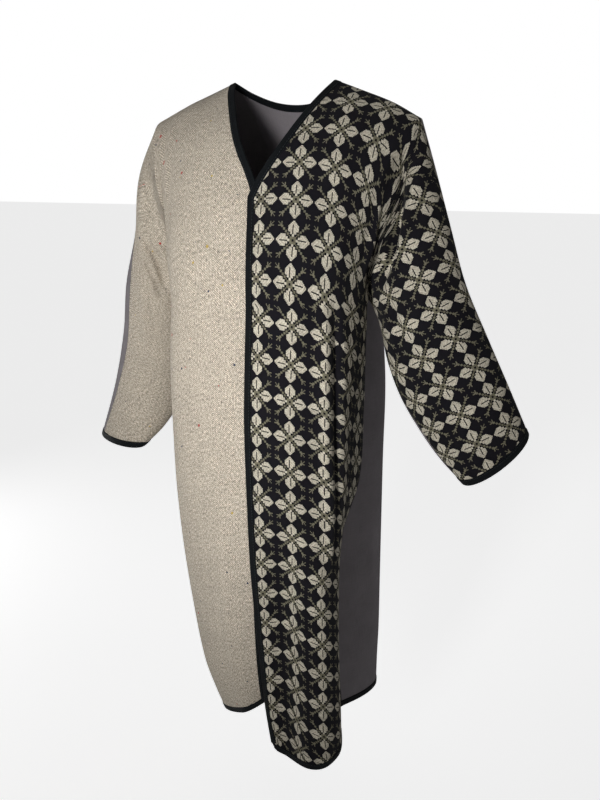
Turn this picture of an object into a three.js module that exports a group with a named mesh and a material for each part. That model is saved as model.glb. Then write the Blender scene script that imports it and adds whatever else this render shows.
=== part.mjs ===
// An open-fronted abaya as it hangs when worn, hollow, with nothing inside it.
// Its fronts and back are cut in one with their half of each sleeve, and are joined along the shoulders,
// the tops and undersides of the sleeves and the sides. A narrow binding closes every raw edge.
//
// Millimetres, +Z up. The wearer faces -Y, so +X is the wearer's left. The origin lies midway between the
// two neck points, at the height where the shoulders carry the coat.
import * as THREE from "three";

// ---------------------------------------------------------------- sizes of the cut and the making
const CLOTH = 1.4; // thickness of the cloth wall
const SEAM_GAP = 0.3; // between two panels that are sewn together
const BINDING = { width: 10, thick: 0.9, gap: 0.45 }; // gap: between the binding and the cloth in it
const HEM_HEIGHT = -1066; // the hem at the sides, the back and the left front
const UNDERARM_HEIGHT = -325;
const LAP = 7; // how far each front edge reaches past the middle, the left front on top
const UNDERLAP = 6; // how far behind the left front's edge the right one starts
const BODY_MIDDLE = { x: 4, y: 8 }; // the body hangs a little back and to the left of the neck

// How many cells each panel is divided into.
const CELLS = { front: 13, neck: 4, lower: 17, chest: 3, vee: 7, sleeve: 10 };
const YOKE = CELLS.chest + CELLS.vee; // rows from the underarm to the shoulder seam
const HALF_BACK = CELLS.front + CELLS.neck;

// ---------------------------------------------------------------- sections of the body
// Each direction is an angle in degrees, from centre front round by the wearer's left.
const DIRECTIONS = {
  edgeL: 0, foreL: 28, ridgeL: 50, flankL: 72, sideL: 95, valleyL: 118, rearL: 142,
  back: 180, rearR: 218, valleyR: 245, sideR: 275, flankR: 310, foreR: 335, edgeR: 360,
};
// One row for each horizontal section: its height, and how far the cloth lies from the middle there.
const SECTIONS = [
  // height edgeL foreL ridgeL flankL sideL valleyL rearL back rearR valleyR sideR flankR foreR edgeR
  [-325, 145, 153, 153, 142, 125, 118, 168, 168, 172, 152, 168, 184, 163, 138],
  [-420, 152, 158, 156, 140, 124, 112, 182, 176, 180, 156, 172, 190, 169, 145],
  [-500, 156, 160, 154, 134, 123, 105, 188, 183, 186, 160, 174, 190, 171, 149],
  [-620, 152, 156, 150, 126, 117, 92, 187, 190, 190, 162, 172, 184, 167, 145],
  [-730, 146, 150, 147, 105, 84, 82, 187, 195, 192, 162, 166, 176, 160, 139],
  [-840, 132, 145, 149, 99, 77, 78, 187, 199, 194, 160, 156, 163, 148, 125],
  [-950, 117, 142, 153, 104, 78, 82, 187, 201, 195, 156, 141, 146, 130, 104],
  [-1010, 108, 143, 155, 109, 80, 87, 185, 201, 194, 152, 126, 128, 112, 86],
  [-1070, 100, 146, 153, 114, 84, 93, 184, 199, 192, 146, 107, 106, 92, 68],
];
// Where the front edges and the side seams lie on the body, as directions, by height.
const EDGES = [
  // height edgeL seamL seamR edgeR
  [-325, -2.5, 104, 254, 362.5],
  [-500, -2.5, 112, 248, 362.5],
  [-730, -2, 116, 245, 362],
  [-900, 0, 118, 245, 358],
  [-1000, 3, 118, 246, 350],
  [-1070, 7, 118, 248, 341],
];
// Vertical folds that the body falls into: ridges where high is above 0, troughs where it is below.
const FOLDS = [
  // start and end heights, direction at each, half the width in degrees, height of the ridge
  { from: -230, to: -760, at: 46, until: 52, spread: 15, high: 7 },
  { from: -620, to: -1200, at: 16, until: 20, spread: 15, high: -17 },
  { from: -560, to: -1200, at: 36, until: 40, spread: 14, high: 9 },
  { from: -300, to: -1200, at: 322, until: 318, spread: 20, high: -5 },
  { from: -480, to: -1200, at: 296, until: 292, spread: 16, high: 5 },
  { from: -620, to: -1200, at: 344, until: 342, spread: 13, high: 6 },
  { from: -380, to: -1200, at: 157, until: 160, spread: 12, high: -15 },
  { from: -300, to: -1200, at: 174, until: 176, spread: 13, high: 13 },
  { from: -420, to: -1200, at: 190, until: 193, spread: 12, high: -14 },
  { from: -340, to: -1200, at: 206, until: 209, spread: 12, high: 11 },
  { from: -460, to: -1200, at: 226, until: 227, spread: 13, high: -13 },
];
const FOLD_FADE = 170; // the height over which a fold grows or dies away
// The hem of each front, by the share of the way from the front edge to the side seam.
const HEM = {
  left: { share: [0, 0.15, 0.35, 0.6, 1], height: [-1066, -1074, -1075, -1069, HEM_HEIGHT] },
  right: { share: [0, 0.25, 0.6, 1], height: [-992, -1028, -1056, HEM_HEIGHT] },
};

// ---------------------------------------------------------------- neck, shoulders and sleeves
// The slanting front edge from the bottom of the neck opening to the neck point.
const VEE = {
  x: [0, 12, 26, 42, 58, 71, 80],
  y: [-116, -106, -94, -74, -48, -24, 0],
  z: [-172, -140, -110, -78, -48, -26, -10],
};
// The shoulder seam, from the neck point to the shoulder.
const SHOULDER = { x: [80, 118, 165, 206], y: [0, 4, 8, 11], z: [-10, -24, -42, -64] };
// The neckline at the back, from the neck point to centre back.
const BACK_NECK = { x: [80, 62, 34, 0], y: [0, 28, 48, 55], z: [-10, -25, -37, -41] };
// One row for each ring of a sleeve: its top and bottom points, how far its front and back stand out, how far
// the middle of its front dips towards the cuff, and how many degrees its seams are turned to the front.
const SLEEVES = {
  left: [
    // topX topY topZ  lowX lowY lowZ  front back  dip  turn
    [205, 11, -64, 125, 38, -325, 60, 72, 0, 0],
    [229, 9, -136, 148, 32, -366, 61, 66, 0, -4],
    [254, 8, -215, 165, 24, -424, 58, 62, 0, -12],
    [280, 6, -295, 190, 12, -474, 53, 58, 0, -20],
    [316, 4, -370, 222, 2, -518, 46, 52, 3, -25],
    [352, 2, -442, 256, -6, -556, 40, 46, 9, -25],
    [385, 0, -510, 292, -10, -588, 34, 40, 15, -22],
  ],
  right: [
    [208, 11, -62, 147, 48, -325, 90, 70, 0, 0],
    [235, 2, -130, 170, 50, -364, 86, 64, 0, 10],
    [247, -4, -215, 184, 46, -424, 72, 60, 0, 36],
    [275, -4, -305, 200, 42, -480, 56, 56, 0, 56],
    [295, 6, -395, 217, 34, -530, 45, 52, 0, 56],
    [327, 20, -492, 240, 16, -572, 39, 46, 0, 50],
    [369, 30, -596, 266, -6, -603, 33, 40, 0, 44],
  ],
};
// How the yoke leaves the body section upwards, and how it runs over the shoulder seam.
const YOKE_RISE = { front: [0, -22, 330], back: [0, 24, 300] };
const YOKE_CREST = { front: [10, 215, 40], back: [10, -170, 70] };
const CHEST_SHARE = 0.42; // of the yoke, up to the bottom of the neck opening
const LAST_SHARE = 0.035; // of the yoke, under the binding of the neck

// ---------------------------------------------------------------- curves
// The value at x of a smooth curve through the points (xs, ys). It is straight past either end.
function smooth(xs, ys, x) {
  const last = xs.length - 1;
  const slope = (a, b) => (ys[b] - ys[a]) / (xs[b] - xs[a]);
  const tangent = (i) => {
    if (i === 0) return slope(0, 1);
    if (i === last) return slope(last - 1, last);
    return slope(i - 1, i + 1);
  };
  if ((x - xs[0]) * Math.sign(xs[last] - xs[0]) <= 0) return ys[0] + tangent(0) * (x - xs[0]);
  if ((x - xs[last]) * Math.sign(xs[last] - xs[0]) >= 0) return ys[last] + tangent(last) * (x - xs[last]);
  let i = 0;
  while ((x - xs[i + 1]) * Math.sign(xs[last] - xs[0]) > 0) i++;
  const span = xs[i + 1] - xs[i];
  const t = (x - xs[i]) / span;
  return (
    ys[i] * (1 + 2 * t) * (1 - t) ** 2 +
    ys[i + 1] * t * t * (3 - 2 * t) +
    span * (tangent(i) * t * (1 - t) ** 2 - tangent(i + 1) * t * t * (1 - t))
  );
}

// The point at share t along a curve that three lists of coordinates give.
function along(curve, t) {
  const steps = curve.x.map((_, i) => i / (curve.x.length - 1));
  return new THREE.Vector3(smooth(steps, curve.x, t), smooth(steps, curve.y, t), smooth(steps, curve.z, t));
}

const column = (table, i) => table.map((row) => row[i]);
const mix = THREE.MathUtils.lerp;
const ease = THREE.MathUtils.smoothstep;
const mirrored = (p, side) => new THREE.Vector3(p.x * side, p.y, p.z);

// ---------------------------------------------------------------- the body below the underarm
const heights = column(SECTIONS, 0);
const bearings = Object.values(DIRECTIONS);

function foldsAt(direction, height) {
  let sum = 0;
  for (const fold of FOLDS) {
    const down = THREE.MathUtils.clamp((fold.from - height) / (fold.from - fold.to), 0, 1);
    const off = Math.abs(direction - mix(fold.at, fold.until, down)) / fold.spread;
    const grown = ease(fold.from - height, 0, FOLD_FADE) * ease(height - fold.to, 0, FOLD_FADE);
    if (off < 1) sum += fold.high * grown * Math.cos((off * Math.PI) / 2) ** 2;
  }
  return sum;
}

// The point of the body at a direction and a height. It holds for directions past the front edges too.
function bodyPoint(direction, height) {
  const reach = bearings.map((_, i) => smooth(heights, column(SECTIONS, i + 1), height));
  const inside = THREE.MathUtils.clamp(direction, 0, 360);
  const radius = smooth(bearings, reach, inside) + foldsAt(direction, height);
  const angle = THREE.MathUtils.degToRad(direction);
  const { x, y } = BODY_MIDDLE;
  return new THREE.Vector3(x + radius * Math.sin(angle), y - radius * Math.cos(angle), height);
}

const edgeAt = (name, height) => {
  const i = { edgeL: 1, seamL: 2, seamR: 3, edgeR: 4 }[name];
  return smooth(column(EDGES, 0), column(EDGES, i), height);
};

// Shares of the way across or down a panel, with the first cell as wide as the binding.
function shares(cells, length, boundAtStart, boundAtEnd = false) {
  const edge = BINDING.width / length;
  const inner = cells - (boundAtStart ? 1 : 0) - (boundAtEnd ? 1 : 0);
  const from = boundAtStart ? edge : 0;
  const to = boundAtEnd ? 1 - edge : 1;
  const list = [];
  if (boundAtStart) list.push(0);
  for (let i = 0; i <= inner; i++) list.push(mix(from, to, i / inner));
  if (boundAtEnd) list.push(1);
  return list;
}

const FRONT_WIDTH = 300; // of each front, from its edge to the side seam, for spacing its columns
const LOWER_LENGTH = UNDERARM_HEIGHT - HEM_HEIGHT;
const SLEEVE_LENGTH = 395; // of the middle of a sleeve
const frontShares = shares(CELLS.front, FRONT_WIDTH, true);
const lowerShares = shares(CELLS.lower, LOWER_LENGTH, true);
const sleeveShares = shares(CELLS.sleeve, SLEEVE_LENGTH, false, true);

const SIDES = { left: 1, right: -1 };

// A point of a front below the underarm. rise is 0 at the hem and 1 at the underarm.
function lowerFront(side, across, rise) {
  const hem = smooth(HEM[side].share, HEM[side].height, across);
  const height = mix(hem, UNDERARM_HEIGHT, rise);
  const [edge, seam] = side === "left" ? ["edgeL", "seamL"] : ["edgeR", "seamR"];
  return bodyPoint(mix(edgeAt(edge, height), edgeAt(seam, height), across), height);
}

// A point of the back below the underarm. across is 0 at the left side seam and 1 at the right one.
function lowerBack(across, rise) {
  const height = mix(HEM_HEIGHT, UNDERARM_HEIGHT, rise);
  return bodyPoint(mix(edgeAt("seamL", height), edgeAt("seamR", height), across), height);
}

// ---------------------------------------------------------------- sleeves
// A point of a sleeve. out is 0 at the armhole and 1 at the cuff, and up is 0 at the underside seam and 1
// at the top seam, by way of the front or the back.
function sleevePoint(side, face, out, up) {
  const rings = SLEEVES[side];
  const steps = rings.map((_, i) => i / (rings.length - 1));
  const [topX, topY, topZ, lowX, lowY, lowZ, front, back, dip, turn] = rings[0].map((_, i) =>
    smooth(steps, column(rings, i), out),
  );
  const top = new THREE.Vector3(topX, topY, topZ);
  const low = new THREE.Vector3(lowX, lowY, lowZ);
  const angle = Math.PI * (face === "front" ? 1 - up : up - 1) + THREE.MathUtils.degToRad(turn);
  const point = low.lerp(top, (1 + Math.cos(angle)) / 2);
  const swell = Math.sin(angle);
  point.y -= (swell > 0 ? front : back) * swell;
  if (swell > 0) point.add(new THREE.Vector3(0.45 * dip * swell, 0, -0.9 * dip * swell));
  return mirrored(point, SIDES[side]);
}

// ---------------------------------------------------------------- the yoke, from the underarm to the shoulders
// A curve from a to b that leaves a along rise and reaches b along crest.
function hermite(a, b, rise, crest, t) {
  return new THREE.Vector3()
    .addScaledVector(a, (1 + 2 * t) * (1 - t) ** 2)
    .addScaledVector(rise, t * (1 - t) ** 2)
    .addScaledVector(b, t * t * (3 - 2 * t))
    .addScaledVector(crest, -t * t * (1 - t));
}

// The front edge above the underarm: straight up to the bottom of the neck opening, then along the vee.
function frontEdge(side, share) {
  const foot = lowerFront(side, 0, 1);
  const bottom = along(VEE, 0);
  const sign = SIDES[side];
  const behind = side === "left" ? 0 : UNDERLAP;
  const start = new THREE.Vector3(-LAP * sign, bottom.y + behind, bottom.z);
  if (share <= CHEST_SHARE) {
    const t = share / CHEST_SHARE;
    const point = foot.clone().lerp(start, t);
    point.y -= 5 * Math.sin(Math.PI * t) * (1 - t);
    return point;
  }
  const t = (share - CHEST_SHARE) / (1 - CHEST_SHARE);
  const point = mirrored(along(VEE, t), sign);
  const lap = 1 - ease(t, 0, 0.5);
  point.x += -LAP * sign * lap;
  point.y += behind * lap;
  return point;
}

// Which share of the height each row of the yoke has. The last row is as deep as the binding.
function yokeShare(row) {
  if (row <= CELLS.chest) return (CHEST_SHARE * row) / CELLS.chest;
  if (row === YOKE) return 1;
  return mix(CHEST_SHARE, 1 - LAST_SHARE, (row - CELLS.chest) / (CELLS.vee - 1));
}

function vector([x, y, z], side) {
  return new THREE.Vector3(x * side, y, z);
}

function yokeFront(side, across, row) {
  const t = yokeShare(row);
  const sign = SIDES[side];
  const rise = vector(YOKE_RISE.front, sign);
  const crest = vector(YOKE_CREST.front, sign);
  const hung = (s) => hermite(lowerFront(side, s, 1), mirrored(along(SHOULDER, s), sign), rise, crest, t);
  const point = hung(across);
  const toEdge = frontEdge(side, t).sub(hung(0));
  const toArm = sleevePoint(side, "front", 0, t).sub(hung(1));
  return point.addScaledVector(toEdge, (1 - across) ** 2).addScaledVector(toArm, across ** 3);
}

// across is 0 at the side and 1 at centre back.
function yokeBack(side, across, row) {
  const t = yokeShare(row);
  const sign = SIDES[side];
  const rise = vector(YOKE_RISE.back, sign);
  const crest = vector(YOKE_CREST.back, sign);
  const neckAt = CELLS.front / HALF_BACK;
  const foot = (s) => lowerBack(side === "left" ? s / 2 : 1 - s / 2, 1);
  const top = (s) => {
    if (s <= neckAt) return mirrored(along(SHOULDER, shoulderShare(1 - s / neckAt)), sign);
    return mirrored(along(BACK_NECK, (s - neckAt) / (1 - neckAt)), sign);
  };
  // Under the neckline the cloth rises straight, and over the shoulders it turns forward.
  const over = crest.clone().multiplyScalar(1 - 0.75 * ease(across, neckAt, 1));
  over.z += 90 * ease(across, neckAt, 1);
  const point = hermite(foot(across), top(across), rise, over, t);
  const toArm = sleevePoint(side, "back", 0, t).sub(hermite(foot(0), top(0), rise, crest, t));
  return point.addScaledVector(toArm, (1 - across) ** 3);
}

// The shoulder seam has the same points on the front and on the back.
function shoulderShare(across) {
  const at = across * CELLS.front;
  const i = Math.min(Math.floor(at), CELLS.front - 1);
  return mix(frontShares[i], frontShares[i + 1], at - i);
}

// ---------------------------------------------------------------- the net of points
// Points that two panels share along a seam are stored once, so that both get the same normal.
const points = [];
const named = new Map();
function place(name, make) {
  if (!named.has(name)) named.set(name, points.push(make()) - 1);
  return named.get(name);
}

const ROWS = CELLS.lower + YOKE;
const grids = {};

for (const side of Object.keys(SIDES)) {
  grids[`front_${side}`] = [];
  for (let i = 0; i <= ROWS; i++) {
    const row = [];
    for (let j = 0; j <= CELLS.front; j++) {
      const across = frontShares[j];
      const upper = i - CELLS.lower;
      const lower = () => lowerFront(side, across, lowerShares[i]);
      const make = upper < 0 ? lower : () => yokeFront(side, across, upper);
      let name = `front ${side} ${i} ${j}`;
      if (j === CELLS.front && upper <= 0) name = `side ${side} ${i}`;
      if (i === ROWS) name = `shoulder ${side} ${j}`;
      row.push(place(name, make));
    }
    grids[`front_${side}`].push(row);
  }
}

grids.back = [];
for (let i = 0; i <= ROWS; i++) {
  const row = [];
  for (let j = 0; j <= 2 * HALF_BACK; j++) {
    const side = j <= HALF_BACK ? "left" : "right";
    const fromSide = side === "left" ? j : 2 * HALF_BACK - j;
    const across = fromSide / HALF_BACK;
    const upper = i - CELLS.lower;
    const whole = side === "left" ? across / 2 : 1 - across / 2;
    const make = () => (upper < 0 ? lowerBack(whole, lowerShares[i]) : yokeBack(side, across, upper));
    let name = `back ${side} ${i} ${fromSide}`;
    if (fromSide === 0 && upper <= 0) name = `side ${side} ${i}`;
    if (fromSide === 0 && upper > 0) name = `armhole back ${side} ${upper}`;
    if (i === ROWS && fromSide <= CELLS.front) name = `shoulder ${side} ${CELLS.front - fromSide}`;
    row.push(place(name, make));
  }
  grids.back.push(row);
}

for (const side of Object.keys(SIDES)) {
  for (const face of ["front", "back"]) {
    const grid = [];
    for (let i = 0; i <= YOKE; i++) {
      const row = [];
      for (let k = 0; k <= CELLS.sleeve; k++) {
        const up = yokeShare(i);
        let name = `sleeve ${side} ${face} ${i} ${k}`;
        if (i === 0) name = `underside ${side} ${k}`;
        if (i === YOKE) name = `top ${side} ${k}`;
        if (k === 0) {
          const torso = face === "front" ? grids[`front_${side}`] : grids.back;
          const end = face === "front" ? CELLS.front : side === "left" ? 0 : 2 * HALF_BACK;
          row.push(torso[CELLS.lower + i][end]);
          continue;
        }
        row.push(place(name, () => sleevePoint(side, face, sleeveShares[k], up)));
      }
      grid.push(row);
    }
    grids[`sleeve_${face}_${side}`] = grid;
  }
}

// ---------------------------------------------------------------- faces and normals
// Four-sided cells of a grid, turned so that their front is the outside of the coat. All are split into
// triangles from their first corner to their third.
function cellsOf(grid, flipped) {
  const cells = [];
  for (let i = 0; i + 1 < grid.length; i++) {
    for (let j = 0; j + 1 < grid[i].length; j++) {
      const [a, b, c, d] = [grid[i][j], grid[i][j + 1], grid[i + 1][j + 1], grid[i + 1][j]];
      cells.push(flipped ? [a, d, c, b] : [a, b, c, d]);
    }
  }
  return cells;
}

const PANELS = {
  front_left: [...cellsOf(grids.front_left, false), ...cellsOf(grids.sleeve_front_left, false)],
  front_right: [...cellsOf(grids.front_right, true), ...cellsOf(grids.sleeve_front_right, true)],
  back: [
    ...cellsOf(grids.back, false),
    ...cellsOf(grids.sleeve_back_left, true),
    ...cellsOf(grids.sleeve_back_right, false),
  ],
};

const trianglesOf = (cell) => [
  [cell[0], cell[1], cell[2]],
  [cell[0], cell[2], cell[3]],
];
const splits = new Set(Object.values(PANELS).flat().flatMap(([a, , c]) => [`${a} ${c}`, `${c} ${a}`]));

// Each face counts towards a corner's normal by its angle there, which keeps the underarm steady.
const normals = points.map(() => new THREE.Vector3());
for (const cells of Object.values(PANELS)) {
  for (const [a, b, c] of cells.flatMap(trianglesOf)) {
    const normal = points[b].clone().sub(points[a]).cross(points[c].clone().sub(points[a])).normalize();
    for (const [i, j, k] of [[a, b, c], [b, c, a], [c, a, b]]) {
      const angle = points[j].clone().sub(points[i]).angleTo(points[k].clone().sub(points[i]));
      normals[i].addScaledVector(normal, angle);
    }
  }
}
for (const normal of normals) normal.normalize();

// ---------------------------------------------------------------- solids
function meshOf(name, vertices, triangles, material) {
  const geometry = new THREE.BufferGeometry();
  const values = vertices.flatMap((v) => v.toArray());
  geometry.setAttribute("position", new THREE.Float32BufferAttribute(values, 3));
  geometry.setIndex(triangles.flat());
  geometry.computeVertexNormals();
  const mesh = new THREE.Mesh(geometry, material);
  mesh.name = name;
  return mesh;
}

// A panel as a wall: its outer points, the same points moved in by the cloth's thickness, and a rim.
function panel(name, material) {
  const cells = PANELS[name];
  const used = [...new Set(cells.flat())];
  const others = Object.entries(PANELS).filter(([other]) => other !== name).flatMap(([, list]) => list);
  const users = (p) => others.some((cell) => cell.includes(p));
  const seam = new Set(used.filter(users));
  const inward = new Map();
  for (const cell of cells) {
    for (const p of cell.filter((q) => seam.has(q))) {
      const centre = cell.reduce((sum, q) => sum.add(points[q]), new THREE.Vector3()).divideScalar(4);
      inward.set(p, (inward.get(p) ?? new THREE.Vector3()).add(centre.sub(points[p])));
    }
  }
  const outer = new Map();
  const vertices = [];
  for (const p of used) {
    const at = points[p].clone();
    const pull = inward.get(p);
    if (pull) at.add(pull.addScaledVector(normals[p], -pull.dot(normals[p])).setLength(SEAM_GAP / 2));
    outer.set(p, vertices.length);
    vertices.push(at, at.clone().addScaledVector(normals[p], -CLOTH));
  }
  const triangles = [];
  const open = new Map();
  for (const [a, b, c] of cells.flatMap(trianglesOf).map((t) => t.map((p) => outer.get(p)))) {
    triangles.push([a, b, c], [a + 1, c + 1, b + 1]);
    for (const [from, to] of [[a, b], [b, c], [c, a]]) {
      if (!open.delete(`${to} ${from}`)) open.set(`${from} ${to}`, [from, to]);
    }
  }
  // The rims of two panels that meet are split alike, from the same point of the seam.
  for (const [from, to] of open.values()) {
    if (used[from / 2] < used[to / 2]) triangles.push([to, from, from + 1], [to, from + 1, to + 1]);
    else triangles.push([to, from, to + 1], [from, from + 1, to + 1]);
  }
  return meshOf(name, vertices, triangles, material);
}

// A stop of a binding: a point on the raw edge and one a binding's width into the cloth.
const stop = (edge, inner) => ({
  on: edge,
  at: inner,
  edge: points[edge].clone(),
  inner: points[inner].clone(),
  edgeNormal: normals[edge],
  innerNormal: normals[inner],
});

// A folded strip round a raw edge, made from the points of the cloth under it and split into triangles as
// that cloth is. closed joins its two ends.
function binding(name, stops, closed, material, turned) {
  const { thick, gap } = BINDING;
  const vertices = [];
  for (const { edge, inner, edgeNormal, innerNormal, slack = 0 } of stops) {
    const out = edge.clone().sub(inner).normalize();
    const near = gap + slack;
    const far = near + thick;
    const at = (from, normal, up, beyond) => from.clone()
      .addScaledVector(normal, up)
      .addScaledVector(out, beyond);
    vertices.push(
      at(inner, innerNormal, near, 0),
      at(inner, innerNormal, far, 0),
      at(edge, edgeNormal, far, near),
      at(edge, edgeNormal, far - 0.4 * thick, far),
      at(edge, edgeNormal, -CLOTH - far + 0.4 * thick, far),
      at(edge, edgeNormal, -CLOTH - far, near),
      at(inner, innerNormal, -CLOTH - far, 0),
      at(inner, innerNormal, -CLOTH - near, 0),
      at(edge, edgeNormal, -CLOTH - near, gap),
      at(edge, edgeNormal, near, gap),
    );
  }
  const around = 10;
  const count = stops.length;
  const triangles = [];
  for (let s = 0; s < (closed ? count : count - 1); s++) {
    for (let k = 0; k < around; k++) {
      const a = s * around + k;
      const b = s * around + ((k + 1) % around);
      const c = ((s + 1) % count) * around + ((k + 1) % around);
      const d = ((s + 1) % count) * around + k;
      const crossed = splits.has(`${stops[s].on} ${stops[(s + 1) % count].at}`) === (k === 1 || k === 7);
      triangles.push(...(crossed ? [[a, b, d], [b, c, d]] : [[a, b, c], [a, c, d]]));
    }
  }
  if (!closed) {
    const fan = [[0, 1, 9], [1, 2, 9], [2, 3, 9], [3, 8, 9], [3, 4, 8], [4, 5, 8], [5, 6, 8], [6, 7, 8]];
    const capOf = (start) => fan.map((t) => t.map((k) => k + start));
    triangles.push(...capOf(0).map((t) => [...t].reverse()), ...capOf((count - 1) * around));
  }
  return meshOf(name, vertices, turned ? triangles.map((t) => [...t].reverse()) : triangles, material);
}

// ---------------------------------------------------------------- where the bindings run
function frontStops(side) {
  const grid = grids[`front_${side}`];
  const list = grid.map((row) => stop(row[0], row[1]));
  const [foot, above] = list;
  const down = foot.edge.clone().sub(above.edge).setLength(BINDING.gap + BINDING.thick);
  return [{ ...foot, edge: foot.edge.clone().add(down), inner: foot.inner.clone().add(down) }, ...list];
}

// Round the back of the neck, from one neck point to the other, turning at each of them.
function neckStops() {
  const [below, edge] = grids.back.slice(-2);
  const [from, to] = [CELLS.front, CELLS.front + 2 * CELLS.neck];
  const list = [stop(edge[from], below[from - 1])];
  for (let j = from; j <= to; j++) list.push(stop(edge[j], below[j]));
  return [...list, stop(edge[to], below[to + 1])];
}

function hemStops() {
  const stretch = (grid, from, to) => {
    const list = [];
    for (let j = from; j !== to; j += Math.sign(to - from)) list.push(stop(grid[0][j], grid[1][j]));
    return list;
  };
  const right = stretch(grids.front_right, 1, CELLS.front);
  const back = stretch(grids.back, 2 * HALF_BACK, 0);
  const left = stretch(grids.front_left, CELLS.front, 0);
  const list = [...right, ...back, ...left];
  // Each end stands clear of the binding of the front edge.
  for (const [end, next] of [[list[0], list[1]], [list.at(-1), list.at(-2)]]) {
    for (const key of ["edge", "inner"]) {
      end[key].add(next[key].clone().sub(end[key]).setLength(2 * SEAM_GAP));
    }
  }
  return list;
}

function cuffStops(side) {
  const { sleeve } = CELLS;
  const front = grids[`sleeve_front_${side}`].map((row) => stop(row[sleeve], row[sleeve - 1]));
  const back = grids[`sleeve_back_${side}`].map((row) => stop(row[sleeve], row[sleeve - 1]));
  return [...front, ...back.slice(1, -1).reverse()];
}

// ---------------------------------------------------------------- the coat
function cloth(name, color, roughness) {
  return new THREE.MeshStandardMaterial({ name, color, roughness, metalness: 0 });
}

const cream = cloth("cream_tweed", 0xbcb2a0, 0.95);
const figured = cloth("figured_black", 0x25232a, 0.85);
const grey = cloth("grey_plain", 0x454244, 0.9);
const black = cloth("black_binding", 0x15171a, 0.7);

const leftStops = frontStops("left");
const rightStops = frontStops("right");
for (const stops of [leftStops, rightStops]) stops.at(-1).slack = SEAM_GAP;
const frontNeckStops = [...leftStops, ...neckStops(), ...rightStops.reverse()];

const coat = new THREE.Group();
coat.add(
  panel("front_right", cream),
  panel("front_left", figured),
  panel("back", grey),
  binding("binding_front_neck", frontNeckStops, false, black, true),
  binding("binding_hem", hemStops(), false, black, true),
  binding("binding_cuff_left", cuffStops("left"), true, black, false),
  binding("binding_cuff_right", cuffStops("right"), true, black, true),
);

export default coat;
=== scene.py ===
"""An open-fronted abaya, worn and hollow: three cloths, narrow bindings and their stitching."""

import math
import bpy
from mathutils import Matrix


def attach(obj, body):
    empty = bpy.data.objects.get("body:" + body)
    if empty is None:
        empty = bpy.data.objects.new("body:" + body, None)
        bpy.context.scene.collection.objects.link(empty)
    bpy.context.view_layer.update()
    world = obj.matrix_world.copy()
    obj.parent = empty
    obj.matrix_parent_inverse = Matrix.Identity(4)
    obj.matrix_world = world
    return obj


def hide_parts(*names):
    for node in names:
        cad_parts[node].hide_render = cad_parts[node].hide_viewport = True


bl_info = {
    "name": "Open-fronted abaya",
    "version": (1, 0, 0),
    "blender": (4, 5, 0),
    "location": "View3D > Sidebar > Abaya",
    "description": "Makes an abaya of tweed, leaf-figured and plain cloth, with bound edges",
    "category": "Add Mesh",
}

from functools import cache, partialmethod

import bpy
import numpy as np
from bpy.props import FloatProperty, FloatVectorProperty, PointerProperty
from mathutils import Vector
from mathutils.bvhtree import BVHTree

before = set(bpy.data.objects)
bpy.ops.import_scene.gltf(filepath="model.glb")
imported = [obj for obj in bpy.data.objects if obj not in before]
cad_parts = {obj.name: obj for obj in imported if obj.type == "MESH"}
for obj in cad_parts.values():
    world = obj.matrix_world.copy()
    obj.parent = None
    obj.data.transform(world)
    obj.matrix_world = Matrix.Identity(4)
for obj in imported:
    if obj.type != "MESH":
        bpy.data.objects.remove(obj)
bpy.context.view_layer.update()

# ---------------------------------------------------------------- sizes of the cut, in millimetres
MM = 0.001
# The thickness of the cloth, and the gap that is left between two cloths at a seam.
CLOTH = 1.4
SEAM_GAP = 0.3
HEM_HEIGHT = -1066.0
UNDERARM_HEIGHT = -325.0
# How far each front passes the middle, how far the right one lies behind the left one, how far
# both bow forward between the underarm and the neck opening, and the share of the slanting neck
# edge over which the lap dies away.
LAP = 7.0
UNDERLAP = 6.0
EDGE_BOW = 5.0
LAP_SHARE = 0.5
BODY_MIDDLE = (4.0, 8.0)
LOWER_LENGTH = UNDERARM_HEIGHT - HEM_HEIGHT
SLEEVE_LENGTH = 395.0
# The share of the way from the underarm up to the shoulder where the neck opening starts, and
# how much of that way the two topmost rows take.
CHEST_SHARE = 0.42
LAST_SHARE = 0.035
# The share of the back, from its side to its centre, where the shoulder seam ends and the
# neckline starts, and the strip beside the neck point on a front and on the back.
NECK_SHARE = 13 / 17
FRONT_STRIP = 1 / 30
BACK_STRIP = 1 / 13
# The nets have two narrow rows beside the hems and cuffs: one this far in, and one halfway.
STRIP = 10.0
# The sign of X on each side of the wearer.
SIDES = {"left": 1.0, "right": -1.0}

# Directions round the body in degrees, from centre front by the wearer's left.
BEARINGS = np.array([0, 28, 50, 72, 95, 118, 142, 180, 218, 245, 275, 310, 335, 360], float)
# One row for each horizontal section: its height, then how far the cloth lies from the middle.
SECTIONS = np.array([
    [-325, 145, 153, 153, 142, 125, 118, 168, 168, 172, 152, 168, 184, 163, 138],
    [-420, 152, 158, 156, 140, 124, 112, 182, 176, 180, 156, 172, 190, 169, 145],
    [-500, 156, 160, 154, 134, 123, 105, 188, 183, 186, 160, 174, 190, 171, 149],
    [-620, 152, 156, 150, 126, 117, 92, 187, 190, 190, 162, 172, 184, 167, 145],
    [-730, 146, 150, 147, 105, 84, 82, 187, 195, 192, 162, 166, 176, 160, 139],
    [-840, 132, 145, 149, 99, 77, 78, 187, 199, 194, 160, 156, 163, 148, 125],
    [-950, 117, 142, 153, 104, 78, 82, 187, 201, 195, 156, 141, 146, 130, 104],
    [-1010, 108, 143, 155, 109, 80, 87, 185, 201, 194, 152, 126, 128, 112, 86],
    [-1070, 100, 146, 153, 114, 84, 93, 184, 199, 192, 146, 107, 106, 92, 68],
], float)
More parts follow.
